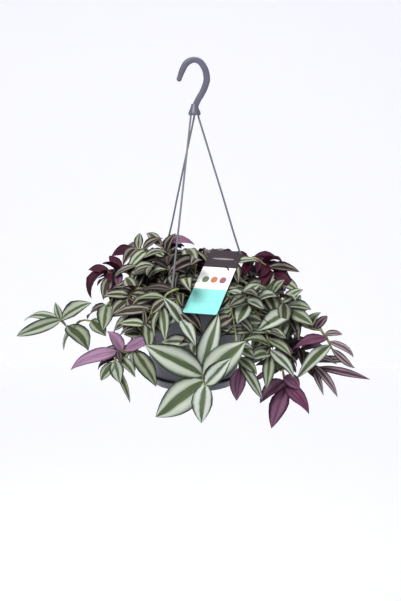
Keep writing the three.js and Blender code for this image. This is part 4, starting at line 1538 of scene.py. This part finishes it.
class Solid:
    """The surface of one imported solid, or of several, in millimetres."""

    def __init__(self, *nodes: str) -> None:
        """Gathers the surface of some nodes.

        Args:
            nodes: the names of the nodes.
        """
        places: list[Vector] = []
        faces: list[list[int]] = []
        for node in nodes:
            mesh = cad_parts[node].data
            faces += [[len(places) + i for i in polygon.vertices] for polygon in mesh.polygons]
            places += [vert.co / MM for vert in mesh.vertices]
        self.tree = BVHTree.FromPolygons(places, faces)

    def away(self, point: Vector) -> float:
        """Returns how far a point is from the surface."""
        return self.tree.find_nearest(point)[3]


@dataclass
class Foliage:
    """All shoots: each stem with the leaves of its solid, drawn finer, and small leaves between them."""

    upper: bpy.types.Material
    under: bpy.types.Material
    skin: bpy.types.Material
    label: CareLabel
    sights: Sequence[Vector]
    # how the solids were grown
    seed: int = 7
    shoots: int = 43
    root_circle: float = 73.0
    stem: float = 1.9
    foot: tuple[float, float, float] = (-38.0, -16.0, -2.0)
    redraws: int = 24
    golden: float = math.pi * (3 - math.sqrt(5))
    ruled_blades: tuple[tuple[float, float], ...] = (
        (4.5, 56), (5.5, 60), (6.5, 60), (7.5, 56), (8.5, 50), (8.9, 42),
    )
    rim_blades: tuple[tuple[float, float], ...] = ((4.5, 50), (6.5, 54))
    rim_place: int = 11
    sky: tuple[float, float, float] = (0, -0.35, 1)
    light: tuple[float, float, float] = (0, -0.6, 0.8)
    droop: float = 0.45
    # the mound's height over the rim, fall, spread and lean, and where a stem crosses the rim, out and up
    mound: tuple[float, float, float, float] = (60, 114, 178, 0.1)
    crossing: tuple[float, float] = (85, 9)
    # from which length a leaf has more faces, where the rings of a smaller and a larger leaf of a solid
    # are, half its thickness, and how near it has to be
    large: float = 68.0
    rings: tuple[float, float] = (0.62, 0.76)
    half_thick: float = 0.65
    near: float = 0.04
    # small leaves: the seed of their draws, their steps along a stem, least length and how much it
    # varies, tries, room from a solid and squared from each other, how low and how far out they stand,
    # in front and aside, and how near beside, over and before a point in sight they may not be
    small_seed: int = 9000
    small_steps: tuple[float, float, float] = (2.4, 1.2, 0.33)
    small_length: tuple[float, float] = (26, 20)
    small_tries: int = 6
    room: float = 1.4
    apart: float = 12.0
    low: tuple[float, float] = (34, 100)
    far: tuple[float, float] = (150, 192)
    veil: tuple[float, float, float] = (4.5, 5, 75)
    # sheaths: their lower and upper radius, their length and how far their middle is below the leaf
    sheath: tuple[float, float, float, float] = (1.6, 2.0, 7.0, 3.2)
    # the seed of each leaf's tint and bends, and its sheets of fewer and of more faces
    leaf_seed: int = 500
    sheets: tuple[bpy.types.Mesh, ...] = ()

    # the mound's rule
    def mound_height(self, radius: float, azimuth: float) -> float:
        """Returns the mound's height over the rim at a place."""
        top, fall, spread, lean = self.mound
        return top - fall * (radius / spread) ** 2 - lean * radius * math.sin(azimuth)

    def draws(self, index: int, place: int, redraw: int) -> Draws:
        """Returns the draws of a stem's route, at place 0, or of one of its blades."""
        return Draws(self.seed + 1000 * index + 50 * place + redraw)

    def rooted(self, root: Root, points: Sequence[Vector]) -> list[Vector]:
        """Returns a route that starts upright in the soil."""
        return [RIM.in_pot(root.azimuth, root.radius, level) for level in self.foot] + list(points)

    def placed_route(self, root: Root, shoot: Shoot, redraw: int) -> list[Vector]:
        """Draws the route of a placed shoot.

        Args:
            root: where it stands.
            shoot: the shoot.
            redraw: which of its draws to take.

        Returns:
            The route.
        """
        points = [RIM.from_front(*point) for point in shoot.route]
        if shoot.crest is None:
            return self.rooted(root, points)
        out, up = self.crossing
        azimuth = math.radians(shoot.crest + (1 if redraw % 2 else -1) * (redraw >> 1))
        return self.rooted(root, [RIM.in_pot(azimuth, out, up + 2.5 * (redraw % 4)), *points])

    def ruled_route(self, root: Root, index: int, redraw: int) -> list[Vector]:
        """Draws the route of a stem of the mound.

        Args:
            root: where it stands.
            index: the stem's number.
            redraw: which of its draws to take.

        Returns:
            The route.
        """
        draw = self.draws(index, 0, redraw)
        out, up = self.crossing
        reach = 30 + 128 * (root.radius / self.root_circle) ** 1.4 + 24 * (draw() - 0.5)
        swing = 0.5 * (draw() - 0.5)
        behind = 0.5 - 0.5 * math.cos(root.azimuth)
        hang = 70 * behind * draw() if root.radius > 58 else 0
        height = self.mound_height(reach, root.azimuth) - 14 * draw() - hang
        over = max(12 + 14 * draw(), 0.72 * height)

        def bend(share: float, level: float) -> Vector:
            """Returns a point between the root and the stem's end."""
            radius = root.radius + share * (reach - root.radius)
            return RIM.in_pot(root.azimuth + share * swing, radius, level)

        if reach < 104:
            first, middle = bend(0.5, over), bend(0.8, 0.5 * (over + height) + 3)
        else:
            first = RIM.in_pot(root.azimuth + 0.4 * swing, out, up + 8 * draw())
            outside = (98 - root.radius) / (reach - root.radius)
            middle = bend(0.5 + 0.5 * outside, 0.45 * height + 0.55 * up + 4)
        return self.rooted(root, [first, middle, bend(1, height)])

    # the blades' rules
    def ruled_blade(self, stem: Stem, at: float, length: float, place: int, redraw: int) -> Blade:
        """Draws a blade of the mound.

        Args:
            stem: the stem.
            at: the step of its spine that it grows from.
            length: the blade's length.
            place: the blade's number.
            redraw: which of its draws to take.

        Returns:
            The blade.
        """
        draw = self.draws(stem.index, place + 2, redraw)
        spine = stem.spine
        before = min(math.floor(at), len(spine) - 2)
        base = spine[before].lerp(spine[before + 1], at - before)
        tangent = (spine[math.ceil(at)] - spine[math.floor(at)]).normalized()
        sky = Vector((base.x, base.y, 0)).normalized() * (0.2 + 0.4 * draw()) + Vector(self.sky)
        light = (sky - tangent * sky.dot(tangent)).normalized()
        sideways = tangent.cross(light) * (-1 if place % 2 else 1)
        last = place == len(self.ruled_blades) - 1
        spread = 0.5 * (draw() - 0.5) if last else 0.7 + 0.7 * draw()
        lift = 0.55 * draw() - 0.08 + 0.02 * redraw
        ahead = tangent * math.cos(spread) + sideways * math.sin(spread) + light * lift
        ahead.z *= self.droop if ahead.z > 0 else 1
        ahead.normalize()
        face = (sky - ahead * sky.dot(ahead)).normalized()
        face.rotate(Quaternion(ahead, 0.8 * (draw() - 0.5)))
        length *= (0.85 + 0.3 * draw()) * (1 - 0.015 * redraw)
        width = length * (0.43 + 0.08 * draw())
        return Blade(base, ahead, face, length, width, 0.5 + 0.7 * draw())

    def placed_blade(self, stem: Stem, row: Sequence[float], place: int, redraw: int) -> Blade:
        """Draws a blade of a placed shoot.

        Args:
            stem: the stem.
            row: the blade's row in its shoot.
            place: the row's number.
            redraw: which of its draws to take.

        Returns:
            The blade.
        """
        step, across, up, near, width, bend, roll = row
        draw = self.draws(stem.index, place + 1, redraw)
        nudge = 3 + redraw if redraw else 0

        def shift(share: float) -> float:
            """Returns a small draw to either side."""
            return nudge * (draw() - 0.5) * share

        tip = RIM.from_front(across + shift(0.7), up + shift(0.7), near + shift(3))
        width *= 1 - 0.01 * redraw
        return self.blade_between(self.on_spine(stem, step), tip, width, bend, roll + shift(4))

    def blade_between(self, base: Vector, tip: Vector, width: float, bend: float, roll: float) -> Blade:
        """Draws a blade from a base to a tip.

        Args:
            base: where it grows.
            tip: where it ends.
            width: its width.
            bend: its bend, in radians.
            roll: how far it is turned about the line between them, in degrees.

        Returns:
            The blade.
        """
        to_light = Vector(self.light)
        line = tip - base
        chord = line.length
        line.normalize()
        out = (to_light - line * to_light.dot(line)).normalized()
        out.rotate(Quaternion(line, math.radians(roll)))
        half = bend / 2
        ahead = line * math.cos(half) + out * math.sin(half)
        face = out * math.cos(half) - line * math.sin(half)
        return Blade(base, ahead, face, chord * half / math.sin(half), width, bend)

    @staticmethod
    def on_spine(stem: Stem, step: float) -> Vector:
        """Finds the point of a placed stem's spine nearest to a step of its route.

        Args:
            stem: the stem.
            step: the step, counted from the first point placed by hand.

        Returns:
            The point.
        """
        route = stem.route[-len(stem.placed.route) :]
        before = min(math.floor(step), len(route) - 2)
        wanted = route[before].lerp(route[before + 1], step - before)
        nearest = stem.spine[0]
        for start, end in zip(stem.spine, stem.spine[1:]):
            here, share = geometry.intersect_point_line(wanted, start, end)
            here = start.lerp(end, min(max(share, 0.0), 1.0))
            if (here - wanted).length < (nearest - wanted).length:
                nearest = here
        return nearest

    # finding what grew
    def find_stem(
        self, stem: Stem, solid: Solid, route_of: Callable[[int], list[Vector]], steps: int
    ) -> None:
        """Gives a stem the route, among its draws, that its solid follows.

        Args:
            stem: the stem.
            solid: the surface of its solid.
            route_of: what draws its route.
            steps: the number of steps of its spine.
        """
        flat = self.stem * math.cos(math.pi / 4)
        best = math.inf
        for redraw in range(self.redraws):
            route = route_of(redraw)
            spine = Line(tuple(route)).spaced(steps)
            miss = sum(abs(solid.away(point) - flat) for point in spine[1:-1])
            if miss < best:
                best, stem.route, stem.spine = miss, route, spine

    def find_blade(self, stem: Stem, solid: Solid, look: Look, blade_of: Callable[[int], Blade]) -> None:
        """Gives a stem the blade, among its draws, that its solid has, if it has one.

        Args:
            stem: the stem.
            solid: the surface of its solid.
            look: the blade's look.
            blade_of: what draws the blade.
        """
        for redraw in range(self.redraws):
            blade = blade_of(redraw)
            point, normal = blade.at(self.rings[blade.length > self.large])
            skin = point + normal * self.half_thick
            if solid.away(blade.tip) < self.near and solid.away(skin) < self.near:
                stem.leaves.append((blade, look))
                return

    def find_ruled(
        self, stem: Stem, solid: Solid, blades: Sequence[tuple[float, float]], first: int = 0
    ) -> None:
        """Gives a stem the ruled blades that its solid has.

        Args:
            stem: the stem.
            solid: the surface of its solid.
            blades: the step and the length of each.
            first: the number of the first.
        """
        for place, (at, length) in enumerate(blades, first):
            self.find_blade(
                stem, solid, Look.STRIPED, lambda redraw: self.ruled_blade(stem, at, length, place, redraw)
            )

    def find(self) -> list[Stem]:
        """Finds what grew.

        Returns:
            Every stem with the leaves that its solid has.
        """
        free = [
            Root(i * self.golden, self.root_circle * math.sqrt((i + 0.5) / self.shoots))
            for i in range(self.shoots)
        ]
        stems = []
        for index, shoot in enumerate(SHOOTS):
            if shoot.crest is None:
                aim = RIM.from_front(*shoot.route[0])
            else:
                aim = RIM.in_pot(math.radians(shoot.crest), self.root_circle, 0)
            aim.z = RIM.centre.z
            root = min(free, key=lambda root: (RIM.in_pot(root.azimuth, root.radius, 0) - aim).length)
            free.remove(root)
            stem = Stem(f"stem_{shoot.name}", index, shoot.look, shoot)
            solid = Solid(stem.name)
            self.find_stem(stem, solid, lambda redraw: self.placed_route(root, shoot, redraw), 11)
            for place, row in enumerate(shoot.blades):
                look = shoot.look_of(place)
                self.find_blade(stem, solid, look, lambda redraw: self.placed_blade(stem, row, place, redraw))
            self.find_ruled(stem, solid, self.rim_blades, self.rim_place)
            stems.append(stem)
        for i, root in enumerate(free):
            stem = Stem(f"stem_{i + 1:02d}", len(SHOOTS) + i)
            if stem.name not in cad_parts:
                continue
            solid = Solid(stem.name)
            self.find_stem(stem, solid, lambda redraw: self.ruled_route(root, stem.index, redraw), 9)
            self.find_ruled(stem, solid, self.ruled_blades)
            stems.append(stem)
        return stems

    # small leaves between the solids' own
    def clear(self, blade: Blade, solid: Solid, taken: Sequence[Vector]) -> bool:
        """Tells whether a small leaf stands free of the solids, of the card's face and of its like.

        Args:
            blade: the leaf.
            solid: the surface of all solids.
            taken: points of the small leaves so far.

        Returns:
            True where it does.
        """
        side = blade.ahead.cross(blade.face)
        for share in (0.35, 0.6, 0.85, 1.0):
            half = blade.half_width(share)
            middle, normal = blade.at(share)
            for reach in (-1, 0, 1):
                point = middle + side * (half * reach) + normal * (0.2 * half * abs(reach))
                if not self.inside(point) or self.label.hides(point) or self.veils(point):
                    return False
                if solid.away(point) < self.room:
                    return False
                if any((point - other).length_squared < self.apart for other in taken):
                    return False
        return True

    def veils(self, point: Vector) -> bool:
        """Tells whether a point stands before one that is to stay in sight from the front.

        Args:
            point: the point.

        Returns:
            True where it does.
        """
        beside, over, before = self.veil
        for sight in self.sights:
            way = point - sight
            close = abs(way.x) < beside and abs(way.dot(RIM.sight_up)) < over
            if close and 0 < way.dot(RIM.sight_near) < before:
                return True
        return False

    @staticmethod
    def inside(point: Vector, margin: float = 1.5) -> bool:
        """Tells whether a point stands inside the box of the solids by a margin."""
        low, high = (Vector(corner) / MM for corner in CAD_BOX)
        return all(low[axis] + margin < point[axis] < high[axis] - margin for axis in range(3))

    def add_small_leaves(self, stems: Sequence[Stem]) -> None:
        """Adds small leaves along the stems where they pass over the soil and the rim.

        Args:
            stems: the stems, which gain the leaves.
        """
        solid = Solid(*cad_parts)
        taken: list[Vector] = []
        step_from, short_of, stride = self.small_steps
        least, varied = self.small_length
        for stem in stems:
            draw = Draws(self.small_seed + 31 * stem.index)
            step = step_from
            while step < len(stem.spine) - short_of:
                for turn in range(self.small_tries):
                    length = least + varied * draw()
                    place = int(draw() * 40) + 20
                    blade = self.ruled_blade(stem, step, length, place, turn)
                    outer = blade.tip.xy.length
                    aside = blade.base.x > 100 or (blade.base.x < -100 and stem.look is not Look.GREEN)
                    low = blade.base.z < RIM.centre.z - self.low[aside]
                    if outer > self.far[aside] or low or not self.clear(blade, solid, taken):
                        continue
                    stem.leaves.append((blade, self.small_look(stem)))
                    taken += [blade.at(share)[0] for share in (0.4, 0.7, 1.0)]
                    break
                step += stride

    @staticmethod
    def small_look(stem: Stem) -> Look:
        """Finds the look of a stem's small leaves.

        Args:
            stem: the stem.

        Returns:
            The look.
        """
        if stem.look is Look.WINE:
            return Look.WINE
        # the small leaves stand inside the mound, so INNER and LEAFY carry painted shade
        return Look.LEAFY if stem.look is Look.GREEN and stem.route[-1].x > 0 else Look.INNER

    # drawing
    def draw_leaf(self, bm: bmesh.types.BMesh, blade: Blade, tint: Tint, draw: Draws) -> None:
        """Draws a leaf by bending a sheet.

        Args:
            bm: the mesh to draw in.
            blade: the leaf's blade.
            tint: how it is coloured.
            draw: the draws to take.
        """
        sheet = self.sheets[blade.length > self.large]
        first = len(bm.verts)
        bm.from_mesh(sheet)
        bm.verts.ensure_lookup_table()
        wave = math.tau * draw()
        layers = {name: bm.verts.layers.float[name] for name in TINTS}
        fold, twist, curl = 0.18 + 0.45 * draw() ** 2, 1.1 * (draw() - 0.5), 0.55 * draw()
        blade = replace(blade, fold=fold, twist=twist, curl=curl)
        for vert in bm.verts[first:]:
            x, across, level = vert.co
            along = 0.5 + 0.5 * x - 0.06 * math.sin(math.pi * (1 + x))
            vert.co = blade.surface(along, across, level, wave)
            for name, layer in layers.items():
                vert[layer] = getattr(tint, name)

    def draw_stem(self, bm: bmesh.types.BMesh, stem: Stem) -> None:
        """Draws a stem, and the sheath round it at each leaf.

        Args:
            bm: the mesh to draw in.
            stem: the stem.
        """
        age, blush = bm.verts.layers.float["age"], bm.verts.layers.float["blush"]
        points = Line(tuple(stem.route)).spaced((len(stem.spine) - 1) * 3)
        shares = [i / (len(points) - 1) for i in range(len(points))]
        faces = set(bm.faces)
        radii = [self.stem * (0.95 - 0.25 * share) for share in shares]
        for share, ring in zip(shares, sweep(bm, points, radii, 10)):
            for vert in ring:
                vert[age] = min(max(1.2 - 2.1 * share, 0.0), 1.0)
        thin, thick, depth, below = self.sheath
        for blade, _ in stem.leaves:
            nearest = min(range(1, len(points)), key=lambda i: (points[i] - blade.base).length)
            way = (points[nearest] - points[nearest - 1]).normalized()
            turn = UP.rotation_difference(way).to_matrix().to_4x4()
            place = Matrix.Translation(blade.base - way * below) @ turn
            cone = {"cap_ends": True, "segments": 10, "radius1": thin, "radius2": thick, "depth": depth}
            for vert in bmesh.ops.create_cone(bm, matrix=place, **cone)["verts"]:
                vert[blush] = 0.8
        for face in bm.faces:
            if face not in faces:
                face.material_index = 2

    def build(self) -> None:
        """Builds every shoot."""
        self.sheets = (LeafSheet(8, 4).mesh(), LeafSheet(12, 6).mesh())
        stems = self.find()
        found = sum(len(stem.leaves) for stem in stems)
        self.add_small_leaves(stems)
        LOG.info("leaves: %d of the solids, %d in all", found, sum(len(stem.leaves) for stem in stems))
        for stem in stems:
            bm = bmesh.new()
            for name in (*TINTS, "age", "blush"):
                bm.verts.layers.float.new(name)
            bm.loops.layers.uv.new("leaf")
            draw = Draws(self.leaf_seed + stem.index)
            for blade, look in stem.leaves:
                self.draw_leaf(bm, blade, look.tint(draw), draw)
            self.draw_stem(bm, stem)
            materials = [self.upper, self.under, self.skin]
            finish_piece(stem.name.replace("stem_", "shoot_"), bm, materials, [stem.name])


# ---------------------------------------------------------------- studio
@dataclass(frozen=True)
class Lamp:
    """A soft square lamp by its place, its size and its power."""

    name: str
    place: tuple[float, float, float]
    size: float
    power: float

    def build(self, aim: Vector) -> None:
        """Builds the lamp.

        Args:
            aim: the point that it is turned to.
        """
        light = bpy.data.lights.new(self.name, "AREA")
        light.shape = "SQUARE"
        light.size = self.size
        light.energy = self.power
        lamp = add_object(self.name, light)
        lamp.location = self.place
        lamp.rotation_euler = (aim - Vector(self.place)).to_track_quat("-Z", "Y").to_euler()


@dataclass
class Studio:
    """The floor, the backdrop, the lights and the camera."""

    floor: bpy.types.Material
    backdrop: bpy.types.Material
    lens: float = 79.87
    sensor: float = 36.0
    shift: tuple[float, float] = (6 / 601, -11.5 / 601)
    sky: float = 0.34
    paper: float = 6.0
    paper_below: float = 1.3
    paper_behind: float = 3.2
    lamps: tuple[Lamp, ...] = (
        Lamp("key_lamp", (-0.8, -1.45, 1.15), 1.1, 44),
        Lamp("fill_lamp", (1.5, -1.4, 0.2), 1.4, 7),
        Lamp("top_lamp", (0.2, 0.2, 1.4), 1.0, 13),
    )

    def build_paper(self) -> None:
        """Builds the floor and the backdrop."""
        under = Matrix.Translation((0, 0, -self.paper_below))
        behind = Matrix.Translation((0, self.paper_behind, 0)) @ Matrix.Rotation(math.pi / 2, 4, "X")
        for name, place, material in (("floor", under, self.floor), ("backdrop", behind, self.backdrop)):
            bm = bmesh.new()
            bmesh.ops.create_grid(bm, x_segments=2, y_segments=2, size=self.paper, matrix=place)
            mesh = mesh_of(name, bm)
            mesh.materials.append(material)
            add_object(name, mesh)

    def build_camera(self) -> None:
        """Builds the camera at the photograph's distance and angle."""
        data = bpy.data.cameras.new("camera")
        data.lens = self.lens
        data.sensor_width = self.sensor
        data.shift_x, data.shift_y = self.shift
        camera = add_object("camera", data)
        camera.location = (RIM.centre + RIM.sight_near * RIM.distance) * MM
        camera.rotation_euler = (-RIM.sight_near).to_track_quat("-Z", "Y").to_euler()
        bpy.context.scene.camera = camera

    def build_world(self) -> None:
        """Builds the soft light all round."""
        world = bpy.data.worlds.new("studio")
        world.use_nodes = True
        ground = world.node_tree.nodes["Background"]
        ground.inputs["Color"].default_value = screen(246, 247, 255)
        ground.inputs["Strength"].default_value = self.sky
        bpy.context.scene.world = world
        bpy.context.scene.view_settings.view_transform = "Standard"

    def build(self) -> None:
        """Builds the studio."""
        self.build_world()
        self.build_paper()
        for lamp in self.lamps:
            lamp.build(aim=Vector((0, 0, -0.3)))
        self.build_camera()


def main() -> None:
    """Builds the dressed model piece by piece, and the studio round it."""
    logging.basicConfig(level=logging.INFO, format="%(message)s")
    slate = MouldedPlastic("slate_plastic", screen(84, 84, 98), screen(108, 106, 122)).material()
    thread = MouldedPlastic("strand_plastic", screen(104, 104, 112), screen(122, 122, 130)).material()
    grey = MouldedPlastic("anthracite_plastic", screen(50, 53, 63), screen(72, 75, 86), 0.34).material()
    soil = PottingSoil("potting_soil").material()
    bark = PottingSoil("bark_crumbs").material()
    LOG.info("hanger")
    hanger = Hanger(slate, thread)
    hanger.build()
    LOG.info("pot, saucer and soil")
    Container(grey, soil, bark).build()
    LOG.info("care label")
    label = CareLabel(PrintedCard("printed_card").material())
    label.build()
    LOG.info("foliage")
    upper = LeafUpper("leaf_upper").material()
    under = LeafUnder("leaf_under").material()
    skin = StemSkin("stem_skin").material()
    front, _, right = (hanger.strand_line(strand).spaced(48) for strand in hanger.strands)
    in_sight = front[34:] + right[38:46]
    Foliage(upper, under, skin, label, in_sight).build()
    LOG.info("studio")
    floor = StudioPaper("floor_paper", 0.285).material()
    backdrop = StudioPaper("backdrop_paper", 0.225).material()
    Studio(floor, backdrop).build()


if __name__ == "__main__":
    main()
